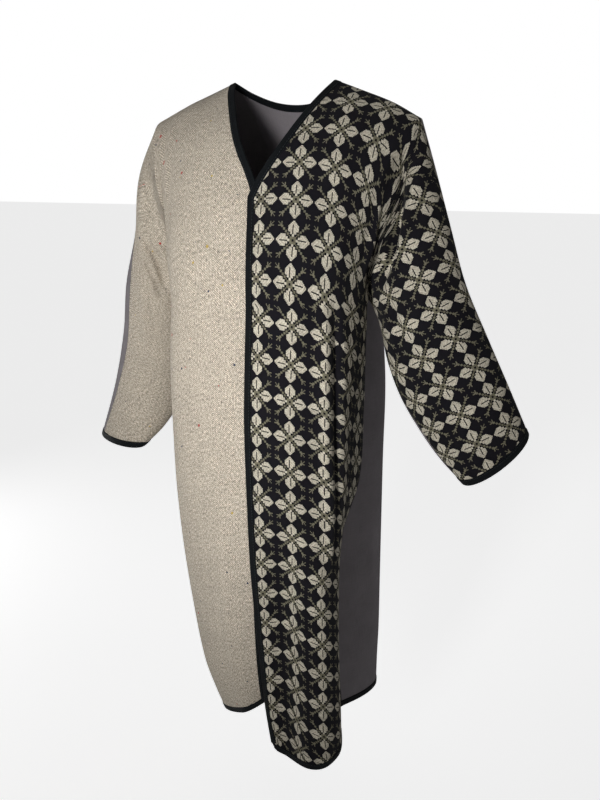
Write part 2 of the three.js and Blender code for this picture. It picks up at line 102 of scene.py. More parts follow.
# Height, then the directions of the left edge, left side seam, right side seam and right edge.
LEFT_EDGE, LEFT_SEAM, RIGHT_SEAM, RIGHT_EDGE = 1, 2, 3, 4
EDGES = np.array([
    [-325, -2.5, 104, 254, 362.5],
    [-500, -2.5, 112, 248, 362.5],
    [-730, -2, 116, 245, 362],
    [-900, -0.8, 118, 245, 359.5],
    [-1000, 1.2, 118, 246, 358],
    [-1070, 7, 118, 248, 355],
], float)
# Folds of the body: start and end heights, direction at each, half the width in degrees, and how
# high each stands (a hollow is below 0).
FOLDS = [
    (-230, -760, 46, 52, 15, 7),
    (-620, -1200, 16, 20, 15, -17),
    (-560, -1200, 36, 40, 14, 9),
    (-300, -1200, 322, 318, 20, -5),
    (-480, -1200, 296, 292, 16, 5),
    (-620, -1200, 344, 342, 13, 6),
    (-380, -1200, 157, 160, 12, -15),
    (-300, -1200, 174, 176, 13, 13),
    (-420, -1200, 190, 193, 12, -14),
    (-340, -1200, 206, 209, 12, 11),
    (-460, -1200, 226, 227, 13, -13),
]
# The length over which a fold fades in and out.
FOLD_FADE = 170.0
# The height of each front's hem, by the share of the way from its edge to the side seam.
HEM = {
    "left": ([0, 0.03, 0.09, 0.3, 0.6, 1], [-1058, -1069, -1073, -1073, -1067, HEM_HEIGHT]),
    "right": ([0, 0.25, 0.6, 1], [-992, -1028, -1056, HEM_HEIGHT]),
}
# Curves, one point to a row: the front edge above the bottom of the neck opening, the shoulder
# seam from the neck point, and the back neckline from there to one point past centre back.
VEE = np.array([
    [0, -116, -172], [12, -106, -140], [26, -94, -110], [42, -74, -78],
    [58, -48, -48], [71, -24, -26], [80, 0, -10],
], float)
SHOULDER = np.array([[80, 0, -10], [118, 4, -24], [165, 8, -42], [206, 11, -64]], float)
BACK_NECK = np.array([
    [80, 0, -10], [62, 28, -25], [34, 48, -37], [0, 55, -41], [-34, 48, -37],
], float)
# The share of that curve at centre back.
CENTRE_SHARE = 0.75
# One row for each ring of a sleeve: top point, low point, how far it swells to the front and to
# the back, how far the front hangs, and its turn in degrees.
SLEEVES = {
    "left": np.array([
        [205, 11, -64, 125, 38, -325, 60, 72, 0, 0],
        [229, 9, -136, 148, 32, -366, 61, 66, 0, -4],
        [254, 8, -215, 165, 24, -424, 58, 62, 0, -12],
        [280, 6, -295, 190, 12, -474, 53, 58, 0, -20],
        [316, 4, -370, 222, 2, -518, 46, 52, 3, -25],
        [352, 2, -442, 256, -6, -556, 40, 46, 9, -25],
        [385, 0, -510, 292, -10, -588, 34, 40, 15, -22],
    ], float),
    "right": np.array([
        [208, 11, -62, 147, 48, -325, 90, 70, 0, 0],
        [235, 2, -130, 170, 50, -364, 86, 64, 0, 10],
        [247, -4, -215, 184, 46, -424, 72, 60, 0, 36],
        [275, -4, -305, 200, 42, -480, 56, 56, 0, 56],
        [295, 6, -395, 217, 34, -530, 45, 52, 0, 56],
        [327, 20, -492, 240, 16, -572, 39, 46, 0, 50],
        [369, 30, -596, 266, -6, -603, 33, 40, 0, 44],
    ], float),
}
# The way in which the front of a sleeve hangs, for each mm.
SLEEVE_HANG = np.array([0.45, 0, -0.9])
# How the cloth leaves the underarm's level and meets the shoulder seam: the slopes of its curve.
YOKE_RISE = {"front": np.array([0.0, -22, 330]), "back": np.array([0.0, 24, 300])}
YOKE_CREST = {"front": np.array([10.0, 215, 40]), "back": np.array([10.0, -170, 70])}
# How much of the back's crest slope is gone at centre back, along each axis, and what is added.
CENTRE_LOSS = np.array([1, 0.75, 0.75])
CENTRE_GAIN = np.array([0, 0, 90])

# ---------------------------------------------------------------- how finely each cloth is meshed
FRONT_COLUMNS = np.r_[0, FRONT_STRIP / 2, np.linspace(FRONT_STRIP, 1, 61)]
LOWER_ROWS = np.r_[0, STRIP / 2 / LOWER_LENGTH, np.linspace(STRIP / LOWER_LENGTH, 1, 127)]
YOKE_ROWS = np.r_[
    np.linspace(0, CHEST_SHARE, 25),
    np.linspace(CHEST_SHARE, 1 - LAST_SHARE, 33)[1:],
    1 - LAST_SHARE / 2,
    1,
]
SLEEVE_COLUMNS = np.r_[
    np.linspace(0, 1 - STRIP / SLEEVE_LENGTH, 78),
    1 - STRIP / 2 / SLEEVE_LENGTH,
    1,
]
NECK_COLUMNS = 14
# The back's columns meet the front's at the shoulder seam.
SEAM_SHARES = np.interp(FRONT_COLUMNS, [0, FRONT_STRIP, 1], [0, BACK_STRIP, 1])
BACK_COLUMNS = np.r_[
    NECK_SHARE * (1 - SEAM_SHARES[::-1]),
    np.linspace(NECK_SHARE, 1, NECK_COLUMNS + 1)[1:],
]
# The row of a body net at the level of the underarm.
FOOT_ROW = len(LOWER_ROWS) - 1


# ---------------------------------------------------------------- curves
def smooth(xs, ys, x):
    """The values at x of a smooth curve through (xs, ys), straight past either end."""
    xs, ys, x = (np.asarray(values, float) for values in (xs, ys, x))
    if xs[-1] < xs[0]:
        xs, x = -xs, -x
    ys = np.broadcast_to(ys, x.shape + xs.shape)
    first = (ys[..., 1] - ys[..., 0]) / (xs[1] - xs[0])
    final = (ys[..., -1] - ys[..., -2]) / (xs[-1] - xs[-2])
    middle = (ys[..., 2:] - ys[..., :-2]) / (xs[2:] - xs[:-2])
    tangents = np.concatenate([first[..., None], middle, final[..., None]], axis=-1)
    i = np.clip(np.searchsorted(xs, x) - 1, 0, len(xs) - 2)
    span = xs[i + 1] - xs[i]
    t = (x - xs[i]) / span

    def pick(values, k):
        return np.take_along_axis(values, (i + k)[..., None], axis=-1)[..., 0]

    value = pick(ys, 0) * (1 + 2 * t) * (1 - t) ** 2 + pick(ys, 1) * t * t * (3 - 2 * t)
    value += span * (pick(tangents, 0) * t * (1 - t) ** 2 - pick(tangents, 1) * t * t * (1 - t))
    value = np.where(x <= xs[0], ys[..., 0] + first * (x - xs[0]), value)
    return np.where(x >= xs[-1], ys[..., -1] + final * (x - xs[-1]), value)


def along(curve, t):
    """The points at shares t of a curve."""
    steps = np.linspace(0, 1, len(curve))
    return np.stack([smooth(steps, curve[:, k], t) for k in range(3)], axis=-1)


def mix(a, b, share):
    """a at share 0, b at share 1."""
    return a + (b - a) * share


def ease(x, low, high):
    """0 up to low and 1 from high on, with a smooth turn at both."""
    t = np.clip((x - low) / (high - low), 0, 1)
    return t * t * (3 - 2 * t)


def mirrored(points, side):
    """Points of the wearer's left side, moved to the side asked for."""
    return points * np.array([SIDES[side], 1, 1])


# ---------------------------------------------------------------- the coat's surface
def folds_at(direction, height):
    """How far the folds stand out from the plain body."""
    total = np.zeros(np.broadcast(direction, height).shape)
    for start, end, first, until, spread, high in FOLDS:
        down = np.clip((start - height) / (start - end), 0, 1)
        off = np.minimum(np.abs(direction - mix(first, until, down)) / spread, 1)
        grown = ease(start - height, 0, FOLD_FADE) * ease(height - end, 0, FOLD_FADE)
        total += high * grown * np.cos(off * math.pi / 2) ** 2
    return total


def body_point(direction, height):
    """Points of the body at directions and heights."""
    direction, height = np.broadcast_arrays(direction, height)
    radii = [smooth(SECTIONS[:, 0], SECTIONS[:, k + 1], height) for k in range(len(BEARINGS))]
    radius = smooth(BEARINGS, np.stack(radii, axis=-1), np.clip(direction, 0, 360))
    radius = radius + folds_at(direction, height)
    angle = np.radians(direction)
    x, y = BODY_MIDDLE
    return np.stack([x + radius * np.sin(angle), y - radius * np.cos(angle), height], axis=-1)


def edge_at(column, height):
    """The direction of a front edge or side seam at a height."""
    return smooth(EDGES[:, 0], EDGES[:, column], height)


def lower_front(side, across, rise):
    """A front below the underarm: rise is 0 at the hem and 1 at the underarm."""
    height = mix(smooth(*HEM[side], across), UNDERARM_HEIGHT, rise)
    edge, seam = (LEFT_EDGE, LEFT_SEAM) if side == "left" else (RIGHT_EDGE, RIGHT_SEAM)
    return body_point(mix(edge_at(edge, height), edge_at(seam, height), across), height)


def lower_back(across, rise):
    """The back below the underarm: across is 0 at the left side seam and 1 at the right one."""
    height = mix(HEM_HEIGHT, UNDERARM_HEIGHT, rise)
    direction = mix(edge_at(LEFT_SEAM, height), edge_at(RIGHT_SEAM, height), across)
    return body_point(direction, height)


def sleeve_point(side, face, out, up):
    """A sleeve: out is 0 at the armhole, up is 0 at the underside seam and 1 at the top seam."""
    out, up = np.broadcast_arrays(out, up)
    rings = SLEEVES[side]
    steps = np.linspace(0, 1, len(rings))
    values = np.stack([smooth(steps, rings[:, k], out) for k in range(rings.shape[1])], axis=-1)
    top, low = values[..., 0:3], values[..., 3:6]
    front, back, dip, turn = (values[..., k] for k in range(6, 10))
    angle = math.pi * (1 - up if face == "front" else up - 1) + np.radians(turn)
    points = low + (top - low) * ((1 + np.cos(angle)) / 2)[..., None]
    swell = np.sin(angle)
    points[..., 1] -= np.where(swell > 0, front, back) * swell
    fall = dip * np.maximum(swell, 0)
    points += fall[..., None] * SLEEVE_HANG
    return mirrored(points, side)


def hermite(a, b, rise, crest, t):
    """A curve from a to b that leaves a along rise and comes to b along crest."""
    t = np.asarray(t)[..., None]
    start = a * (1 + 2 * t) * (1 - t) ** 2 + rise * t * (1 - t) ** 2
    return start + b * t * t * (3 - 2 * t) - crest * t * t * (1 - t)


def front_edge(side, share):
    """The front edge above the underarm: up to the bottom of the neck opening, then the vee."""
    sign = SIDES[side]
    behind = 0.0 if side == "left" else UNDERLAP
    foot = lower_front(side, np.array(0.0), 1.0)
    start = np.array([-LAP * sign, VEE[0, 1] + behind, VEE[0, 2]])
    t = np.clip(share / CHEST_SHARE, 0, 1)
    straight = mix(foot, start, t[..., None])
    straight[..., 1] -= EDGE_BOW * np.sin(math.pi * t) * (1 - t)
    t = np.clip((share - CHEST_SHARE) / (1 - CHEST_SHARE), 0, 1)
    slanting = mirrored(along(VEE, t), side)
    lap = 1 - ease(t, 0, LAP_SHARE)
    slanting[..., 0] -= LAP * sign * lap
    slanting[..., 1] += behind * lap
    return np.where((share <= CHEST_SHARE)[..., None], straight, slanting)


def yoke_front(side, across, t):
    """A front above the underarm: across is 0 at the front edge and 1 at the armhole."""
    across, t = np.broadcast_arrays(across, t)
    rise, crest = (mirrored(curve["front"], side) for curve in (YOKE_RISE, YOKE_CREST))

    def hung(s):
        top = mirrored(along(SHOULDER, s), side)
        return hermite(lower_front(side, s, 1.0), top, rise, crest, t)

    to_edge = front_edge(side, t) - hung(np.zeros_like(across))
    to_arm = sleeve_point(side, "front", np.zeros_like(t), t) - hung(np.ones_like(across))
    return hung(across) + to_edge * (1 - across[..., None]) ** 2 + to_arm * across[..., None] ** 3


def yoke_back(side, across, t):
    """Half the back above the underarm: across is 0 at the armhole and 1 at centre back."""
    across, t = np.broadcast_arrays(across, t)
    rise, crest = (mirrored(curve["back"], side) for curve in (YOKE_RISE, YOKE_CREST))

    def foot(s):
        return lower_back(s / 2 if side == "left" else 1 - s / 2, 1.0)

    def top(s):
        share = np.interp(1 - s / NECK_SHARE, [0, BACK_STRIP, 1], [0, FRONT_STRIP, 1])
        neck = along(BACK_NECK, CENTRE_SHARE * (s - NECK_SHARE) / (1 - NECK_SHARE))
        return mirrored(np.where((s <= NECK_SHARE)[..., None], along(SHOULDER, share), neck), side)

    inside = ease(across, NECK_SHARE, 1)[..., None]
    over = crest * (1 - CENTRE_LOSS * inside) + CENTRE_GAIN * inside
    arm = sleeve_point(side, "back", np.zeros_like(t), t)
    none = np.zeros_like(across)
    to_arm = arm - hermite(foot(none), top(none), rise, crest, t)
    return hermite(foot(across), top(across), rise, over, t) + to_arm * (1 - across[..., None]) ** 3


def make_grids():
    """The nets of points that make up the coat, by name, in millimetres."""
    rows = LOWER_ROWS[:-1, None]
    yoke = YOKE_ROWS[:, None]
    front, back = FRONT_COLUMNS[None, :], BACK_COLUMNS[None, :]
    grids = {}
    for side in SIDES:
        lower = lower_front(side, front, rows)
        grids[f"front_{side}"] = np.concatenate([lower, yoke_front(side, front, yoke)])
        lower = lower_back(back / 2 if side == "left" else 1 - back / 2, rows)
        grids[f"back_{side}"] = np.concatenate([lower, yoke_back(side, back, yoke)])
        for face in ("front", "back"):
            grids[f"sleeve_{face}_{side}"] = sleeve_point(side, face, SLEEVE_COLUMNS[None, :], yoke)
    return grids


# Which nets make each panel, and whether the net's faces are turned to point out of the coat.
PANELS = {
    "front_left": [("front_left", False), ("sleeve_front_left", False)],
    "front_right": [("front_right", True), ("sleeve_front_right", True)],
    "back": [
        ("back_left", False), ("sleeve_back_left", True),
        ("back_right", True), ("sleeve_back_right", False),
    ],
}

# Creases laid into the cloth: how deep (below 0) or high, half the width, and points of the line
# that each runs along, near the cloth.
CREASES = [
    # the left armhole: the hollow, the roll of the body's side and of the sleeve's side
    (-36, 25, [
        (204, -18, -94), (199, -28, -119), (190, -36, -149), (184, -39, -183),
        (177, -38, -215), (169, -35, -247), (160, -26, -279), (150, -12, -311),
    ]),
    (9, 15, [
        (188, -35, -138), (178, -37, -161), (164, -36, -192), (152, -35, -221),
        (145, -38, -258), (142, -40, -298),
    ]),
    (5, 17, [
        (205, -32, -148), (201, -38, -182), (196, -41, -220), (191, -41, -256), (190, -39, -295),
    ]),
    (-4, 10, [(206, -3, -76), (209, -15, -101), (209, -27, -135), (206, -36, -169)]),
    (-6, 14, [(172, -27, -320), (186, -33, -347), (200, -36, -383)]),
    # the narrow fold down the figured front
    (9, 12, [
        (104, -113, -270), (108, -114, -382), (111, -113, -471), (113, -108, -564),
        (115, -101, -678), (117, -95, -760),
    ]),
    (-10, 11, [
        (121, -101, -280), (125, -102, -383), (128, -99, -472), (128, -93, -566), (127, -85, -688),
    ]),
    # the right armhole: two drag folds, and the soft fall of the shoulder above them
    (-11, 15, [
        (-220, -60, -237), (-207, -60, -252), (-196, -52, -275), (-192, -41, -305),
        (-193, -33, -336),
    ]),
    (-5, 9, [(-223, -58, -259), (-210, -56, -286), (-202, -47, -314), (-197, -37, -338)]),
    (5, 12, [(-205, -66, -240), (-190, -66, -258), (-180, -64, -285), (-178, -62, -320)]),
    (-5, 17, [(-206, -37, -92), (-200, -56, -129), (-198, -63, -181), (-200, -62, -230)]),
    (5, 18, [
        (-177, -52, -107), (-165, -66, -151), (-168, -62, -203), (-165, -75, -252),
        (-160, -86, -310),
    ]),
    (4, 14, [(-238, -50, -279), (-229, -50, -323), (-229, -40, -373), (-238, -30, -426)]),
]
# The steps of a crease's path, the highest power in its curve, and the share of it at either end
# over which the crease dies away.
CREASE_STEPS = 32
CREASE_POWER = 6
CREASE_TAPER = 0.25


# ---------------------------------------------------------------- the coat as one net of points
# Points in the same 200th of a millimetre are one point.
WELD_FINENESS = 200
# Lengths that are too small to divide by, steps that are too small to keep, and the least rise
# from one row of the flat pattern to the next.
TINY = 1e-9
LEAST_STEP = 1e-6
LEAST_RISE = 0.01


def unit(vectors):
    """Vectors of length 1 the same way."""
    return vectors / np.maximum(np.linalg.norm(vectors, axis=-1, keepdims=True), TINY)


def run_along(points):
    """How far along a line of points each one lies."""
    return np.r_[0, np.cumsum(np.linalg.norm(np.diff(points, axis=0), axis=1))]


def quads(net, turned):
    """The four corners of each face of a net."""
    corners = [net[:-1, :-1], net[:-1, 1:], net[1:, 1:], net[1:, :-1]]
    if turned:
        corners = [corners[0], corners[3], corners[2], corners[1]]
    return np.stack([corner.reshape(-1, *net.shape[2:]) for corner in corners], axis=1)


def crease_profile(points, path, wide):
    """1 on the path, falling to 0 at the given distance from it, and tapering at both ends."""
    low, high = path.min(axis=0) - wide, path.max(axis=0) + wide
    near = np.flatnonzero(np.all((points > low) & (points < high), axis=1))
    best = np.full(len(near), np.inf)
    place = np.zeros(len(near))
    for k in range(len(path) - 1):
        step = path[k + 1] - path[k]
        t = np.clip((points[near] - path[k]) @ step / max(step @ step, TINY), 0, 1)
        gap = np.linalg.norm(points[near] - path[k] - t[:, None] * step, axis=1)
        closer = gap < best
        best[closer] = gap[closer]
        place[closer] = (k + t[closer]) / (len(path) - 1)
    profile = np.zeros(len(points))
    taper = ease(place, 0, CREASE_TAPER) * ease(1 - place, 0, CREASE_TAPER)
    profile[near] = np.cos(np.minimum(best / wide, 1) * math.pi / 2) ** 2 * taper
    return profile


class Coat:
    """All the nets welded into one surface, with its creases, normals and flat pattern."""

    def __init__(self):
        self.grids = make_grids()
        self.lay_flat()
        self.weld()
        self.crease()

    def weld(self):
        """Makes one list of points for all the nets, and one of faces for each net of a panel."""
        self.at = {}
        stacked = np.concatenate([grid.reshape(-1, 3) for grid in self.grids.values()])
        keys = np.round(stacked * WELD_FINENESS).astype(np.int64)
        _, first, inverse = np.unique(keys, axis=0, return_index=True, return_inverse=True)
        inverse = inverse.reshape(-1)
        self.points = stacked[first]
        start = 0
        for name, grid in self.grids.items():
            count = grid.shape[0] * grid.shape[1]
            self.at[name] = inverse[start:start + count].reshape(grid.shape[:2])
            start += count
        self.faces = {
            panel: [quads(self.at[name], turned) for name, turned in nets]
            for panel, nets in PANELS.items()
        }

    def find_normals(self):
        """Finds the way out of the cloth at each point."""
        normals = np.zeros_like(self.points)
        for faces in (faces for nets in self.faces.values() for faces in nets):
            across = self.points[faces[:, 2]] - self.points[faces[:, 0]]
            over = self.points[faces[:, 3]] - self.points[faces[:, 1]]
            normal = unit(np.cross(across, over))
            for k in range(4):
                np.add.at(normals, faces[:, k], normal)
        self.normals = unit(normals)

    def crease(self):
        """Moves the cloth in and out along the creases."""
        self.find_normals()
        total = np.zeros(len(self.points))
        for high, wide, line in CREASES:
            total += high * crease_profile(self.points, self.path_by(line), wide)
        self.points = self.points + self.normals * total[:, None]
        self.find_normals()

    def path_by(self, line):
        """A smooth path past the points of a line, moved on to the nearest points of the cloth."""
        share = np.linspace(0, 1, CREASE_STEPS)
        path = along(np.array(line, float), share)
        gaps = np.linalg.norm(self.points[None] - path[:, None], axis=2)
        nearest = self.points[np.argmin(gaps, axis=1)]
        power = min(len(line), CREASE_POWER)
        fit = [np.polynomial.Polynomial.fit(share, row, power)(share) for row in nearest.T]
        return np.stack(fit, axis=1)

    def lay_flat(self):
        """Finds where each point of the nets lies on its cloth before it is sewn."""
        self.flat = {}
        for side, sign in SIDES.items():
            for face in ("front", "back"):
                grid = self.grids[f"{face}_{side}"]
                if face == "back":
                    grid = grid[:, ::-1]
                    start = np.zeros(len(YOKE_ROWS))
                else:
                    start = np.abs(grid[FOOT_ROW:, 0, 0] + LAP * sign)
                    start[0] = 0
                lower = flat_lower(grid[:FOOT_ROW + 1])[:-1]
                flat = np.concatenate([lower, flat_yoke(grid[FOOT_ROW:], start)])
                if face == "back":
                    flat = flat[:, ::-1]
                else:
                    flat = off_grain(flat)
                armhole = flat[FOOT_ROW:, -1 if face == "front" else 0]
                sleeve = flat_sleeve(self.grids[f"sleeve_{face}_{side}"], armhole)
                turn = np.array([sign, 1])
                self.flat[f"{face}_{side}"] = flat * turn
                self.flat[f"sleeve_{face}_{side}"] = sleeve * turn


@cache
def coat():
    """The coat, worked out once."""
    return Coat()


# ---------------------------------------------------------------- the flat pattern
def lengths_along(grid, axis):
    """How far along its row or column each point of a net lies."""
    steps = np.linalg.norm(np.diff(grid, axis=axis), axis=2)
    total = np.cumsum(steps, axis=axis)
    pad = [(0, 0), (0, 0)]
    pad[axis] = (1, 0)
    return np.pad(total, pad)


def flat_lower(grid):
    """The flat place of a body panel below the underarm, its edge or centre on the grain."""
    across = lengths_along(grid, 1)
    climbed = np.linalg.norm(np.diff(grid, axis=0), axis=2)
    rise = np.sqrt(np.maximum(climbed ** 2 - np.diff(across, axis=0) ** 2, 0))
    height = -np.flipud(np.cumsum(np.flipud(rise), axis=0))
    height = np.concatenate([height, np.zeros((1, grid.shape[1]))])
    return np.stack([across, height], axis=-1)


def flat_yoke(grid, start):
    """The flat place above the underarm, where each row stays straight and keeps its length."""
    rows = lengths_along(grid, 1)
    rim = np.linalg.norm(np.diff(grid[:, 0], axis=0), axis=1)
    arm = np.linalg.norm(np.diff(grid[:, -1], axis=0), axis=1)
    rise = np.sqrt(np.maximum(rim ** 2 - np.diff(start) ** 2, LEAST_RISE ** 2))
    feet = np.stack([start, np.r_[0, np.cumsum(rise)]], axis=1)
    tip = np.array([rows[0, -1] + start[0], 0.0])
    lines = [feet[0] + rows[0][:, None] * np.array([1.0, 0.0])]
    for i in range(1, len(grid)):
        reach = tip - feet[i]
        gap = np.linalg.norm(reach)
        forward = (gap ** 2 + rows[i, -1] ** 2 - arm[i - 1] ** 2) / (2 * gap)
        upward = math.sqrt(max(rows[i, -1] ** 2 - forward ** 2, 0))
        way = reach / gap * forward + np.array([-reach[1], reach[0]]) / gap * upward
        way /= np.linalg.norm(way)
        tip = feet[i] + way * rows[i, -1]
        lines.append(feet[i] + rows[i][:, None] * way)
    return np.stack(lines)


# How far a sleeve is cut below level, and over how many rows each way its grain is judged.
SLEEVE_SLANT = math.radians(4)
GRAIN_ROWS = 4
# How far out the cloth takes to turn from the body's grain to the sleeve's: under the arm, where
# the spare cloth is tucked into the armhole, and at the shoulder. The power says how late the
# width grows on the way up.
GRAIN_TURN = (8.0, 120.0)
GRAIN_TURN_POWER = 4


def flat_sleeve(grid, armhole):
    """The flat place of half a sleeve, cut nearly level and held to the body at the shoulder."""
    middle = len(grid) // 2
    out = lengths_along(grid, 1)[middle]
    up = lengths_along(grid, 0)
    up = up - up[middle]
    ahead = np.gradient(grid[middle], axis=0)
    across = grid[middle + GRAIN_ROWS] - grid[middle - GRAIN_ROWS]
    spans = np.linalg.norm(ahead, axis=1) * np.linalg.norm(across, axis=1)
    corner = np.arccos(np.clip(np.sum(ahead * across, axis=1) / spans, -1, 1))
    way = np.array([math.cos(SLEEVE_SLANT), -math.sin(SLEEVE_SLANT)])
    over = np.stack([np.cos(corner - SLEEVE_SLANT), np.sin(corner - SLEEVE_SLANT)], axis=-1)
    level = out[None, :, None] * way + up[:, :, None] * over[None]
    level = relaxed(level, grid)
    level += armhole[-1] - level[-1, 0]
    drawn = armhole[:, None, :] + out[None, :, None] * way
    rise = np.linspace(0, 1, len(grid)) ** GRAIN_TURN_POWER
    turn = mix(*GRAIN_TURN, rise)
    share = np.stack([ease(out, 0, width) for width in turn])
    return mix(drawn, level, share[..., None])


# The neighbours of a point of a net: along it, up it and across it both ways.
NEIGHBOURS = (
    (np.s_[:, :-1], np.s_[:, 1:]), (np.s_[:-1, :], np.s_[1:, :]),
    (np.s_[:-1, :-1], np.s_[1:, 1:]), (np.s_[:-1, 1:], np.s_[1:, :-1]),
)
# How often the flat cloth is eased, and how far past the even share each time.
EASE_ROUNDS = 300
EASE_HASTE = 1.2


def relaxed(flat, grid):
    """The flat place eased until neighbours lie as far apart as they do in the worn cloth."""
    flat = np.array(flat)
    worn = [np.linalg.norm(grid[b] - grid[a], axis=2) for a, b in NEIGHBOURS]
    ties = np.zeros(flat.shape[:2])
    for a, b in NEIGHBOURS:
        ties[a] += 1
        ties[b] += 1
    for _ in range(EASE_ROUNDS):
        move = np.zeros_like(flat)
        for (a, b), length in zip(NEIGHBOURS, worn):
            step = flat[b] - flat[a]
            now = np.maximum(np.linalg.norm(step, axis=2), LEAST_STEP)
            step = step * (1 - length / now)[..., None] / 2
            move[a] += step
            move[b] -= step
        flat += move / ties[..., None] * EASE_HASTE
    return flat


# How far the weft of a front runs down towards its side, for each mm across, and how that grows.
GRAIN_DROP = (0.03, 0.0016)
# The width past which it grows no more, the heights above the underarm between which it fades,
# and how much of it is gone by then.
GRAIN_WIDTH = 190
GRAIN_FADE = (110, 300)
GRAIN_LOSS = 0.75


def off_grain(flat):
    """The flat place of a front whose weft hangs down towards the side, less so at the shoulder."""
    across, height = flat[..., 0], flat[..., 1]
    fade = 1 - GRAIN_LOSS * ease(height, *GRAIN_FADE)
    drop = (GRAIN_DROP[0] + GRAIN_DROP[1] * np.minimum(across, GRAIN_WIDTH)) * across
    return np.stack([across, height + drop * fade], axis=-1)


# ---------------------------------------------------------------- meshes
def add_piece(name, points, faces, uvs=None):
    """A new object at the origin from points in millimetres. uvs holds one pair for each corner."""
    mesh = bpy.data.meshes.new(name)
    mesh.from_pydata((points * MM).tolist(), [], faces)
    mesh.polygons.foreach_set("use_smooth", [True] * len(mesh.polygons))
    if uvs is not None:
        layer = mesh.uv_layers.new(name="Cloth")
        layer.data.foreach_set("uv", (np.asarray(uvs) * MM).reshape(-1).tolist())
    mesh.update()
    piece = bpy.data.objects.new(name, mesh)
    bpy.context.collection.objects.link(piece)
    return piece


def draw_in(points, normals, faces, drawn):
    """Moves the drawn points a little into their own cloth, so that seams stay open."""
    pull = np.zeros_like(points)
    centres = points[faces].mean(axis=1)
    for k in range(4):
        np.add.at(pull, faces[:, k], centres - points[faces[:, k]])
    pull -= normals * np.sum(pull * normals, axis=1, keepdims=True)
    points[drawn] += unit(pull)[drawn] * SEAM_GAP / 2


def rim_edges(faces, count):
    """The edges that only one face has."""
    edges = np.concatenate([faces[:, [k, (k + 1) % 4]] for k in range(4)])
    there = edges[:, 0] * count + edges[:, 1]
    back = edges[:, 1] * count + edges[:, 0]
    return edges[~np.isin(there, back)]


def cloth_piece(panel):
    """One panel as a thin wall, with a rim, and its seam edges drawn in a little."""
    whole = coat()
    faces = np.concatenate(whole.faces[panel])
    used = np.unique(faces)
    others = [nets for name, nets in whole.faces.items() if name != panel]
    seam = np.intersect1d(used, np.concatenate([faces for nets in others for faces in nets]))
    index = np.full(len(whole.points), -1)
    index[used] = np.arange(len(used))
    points, normals, local = whole.points[used], whole.normals[used], index[faces]
    draw_in(points, normals, local, np.isin(used, seam))
    count = len(used)
    first, second = rim_edges(local, count).T
    rims = np.stack([second, first, first + count, second + count], axis=1)
    outside = np.concatenate([quads(whole.flat[name], turned) for name, turned in PANELS[panel]])
    flats = {}
    for name, _ in PANELS[panel]:
        at, flat = index[whole.at[name]].reshape(-1), whole.flat[name].reshape(-1, 2)
        flats.update(zip(at.tolist(), flat.tolist()))
    rim_uvs = np.array([[flats[i % count] for i in quad] for quad in rims.tolist()])
    uvs = np.concatenate([outside, outside[:, ::-1], rim_uvs]).reshape(-1, 2)
    everything = np.concatenate([local, local[:, ::-1] + count, rims])
    walls = np.concatenate([points, points - normals * CLOTH])
    return add_piece(f"cloth_{panel}", walls, everything.tolist(), uvs)


def dress(piece, node, material):
    """Gives a piece its material and slot, and puts it in the place of a node if one is named."""
    piece.data.materials.append(material)
    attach(piece, "root")
    if node:
        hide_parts(node)


# ---------------------------------------------------------------- bindings
# How far apart the sections of a binding lie.
BINDING_STEP = 4.0
# Points of its outer face, as shares: how far in from the raw edge, of its width, and how high
# above the cloth, of its thickness. Then the fold round the raw edge: how far past the edge and
# how high above the cloth, of its thickness.
BINDING_FACE = [
    (1.0, 0.1), (1.0, 0.55), (1.0, 0.85), (0.75, 1.0), (0.45, 1.05), (0.15, 1.0), (0.0, 0.85),
]
BINDING_FOLD = (0.75, 0.5)
# The gaps between a binding and the cloth, under its faces and its lining, and how far in from
# the raw edge its lining closes.
FACE_GAP = 0.05
LINING_GAP = 0.03
LINING_END = 0.3
# How many places each way the run of an edge is judged over.
EDGE_REACH = 3


@cache
def outer_tree():
    """The coat's outer face, to find places on."""
    whole = coat()
    faces = np.concatenate([faces for nets in whole.faces.values() for faces in nets])
    return BVHTree.FromPolygons(whole.points.tolist(), faces.tolist())


def binding_runs():
    """Each binding's name, the edge it covers, whether it closes, and which way lies inward."""
    at = coat().at
    left, right = at["front_left"], at["front_right"]
    neck_left, neck_right = (at[f"back_{side}"][-1, len(FRONT_COLUMNS) - 1:] for side in SIDES)
    front = np.r_[left[:, 0], neck_left[1:], neck_right[::-1][1:-1], right[::-1, 0]]
    hem = np.r_[right[0], at["back_right"][0, 1:], at["back_left"][0, ::-1][1:], left[0, ::-1][1:]]
    runs = [("front_neck", front, False, -1.0), ("hem", hem[1:-1], False, -1.0)]
    for side, flip in SIDES.items():
        fore, rear = (at[f"sleeve_{face}_{side}"][:, -1] for face in ("front", "back"))
        runs.append((f"cuff_{side}", np.r_[fore, rear[::-1][1:-1]], True, flip))
    return runs


def resampled(path, closed, step):
    """A path through points of the coat, with its normals, at even steps along it."""
    whole = coat()
    at = np.r_[path, path[:1]] if closed else path
    points, normals = whole.points[at], whole.normals[at]
    apart = np.r_[True, np.diff(run_along(points)) > LEAST_STEP]
    points, normals = points[apart], normals[apart]
    run = run_along(points)
    t = np.linspace(0, run[-1], int(round(run[-1] / step)) + 1)
    if closed:
        t = t[:-1]
    points = np.stack([np.interp(t, run, row) for row in points.T], axis=1)
    normals = np.stack([np.interp(t, run, row) for row in normals.T], axis=1)
    return points, unit(normals), t


def edge_frames(points, normals, closed, flip):
    """For each point of an edge, the way in over the cloth, square to the edge."""
    if closed:
        padded = np.concatenate([points[-EDGE_REACH:], points, points[:EDGE_REACH]])
    else:
        steps = np.arange(1, EDGE_REACH + 1)[:, None]
        before = points[0] + (points[0] - points[1]) * steps[::-1]
        after = points[-1] + (points[-1] - points[-2]) * steps
        padded = np.concatenate([before, points, after])
    tangent = padded[2 * EDGE_REACH:] - padded[:-2 * EDGE_REACH]
    return unit(np.cross(normals, tangent) * flip)


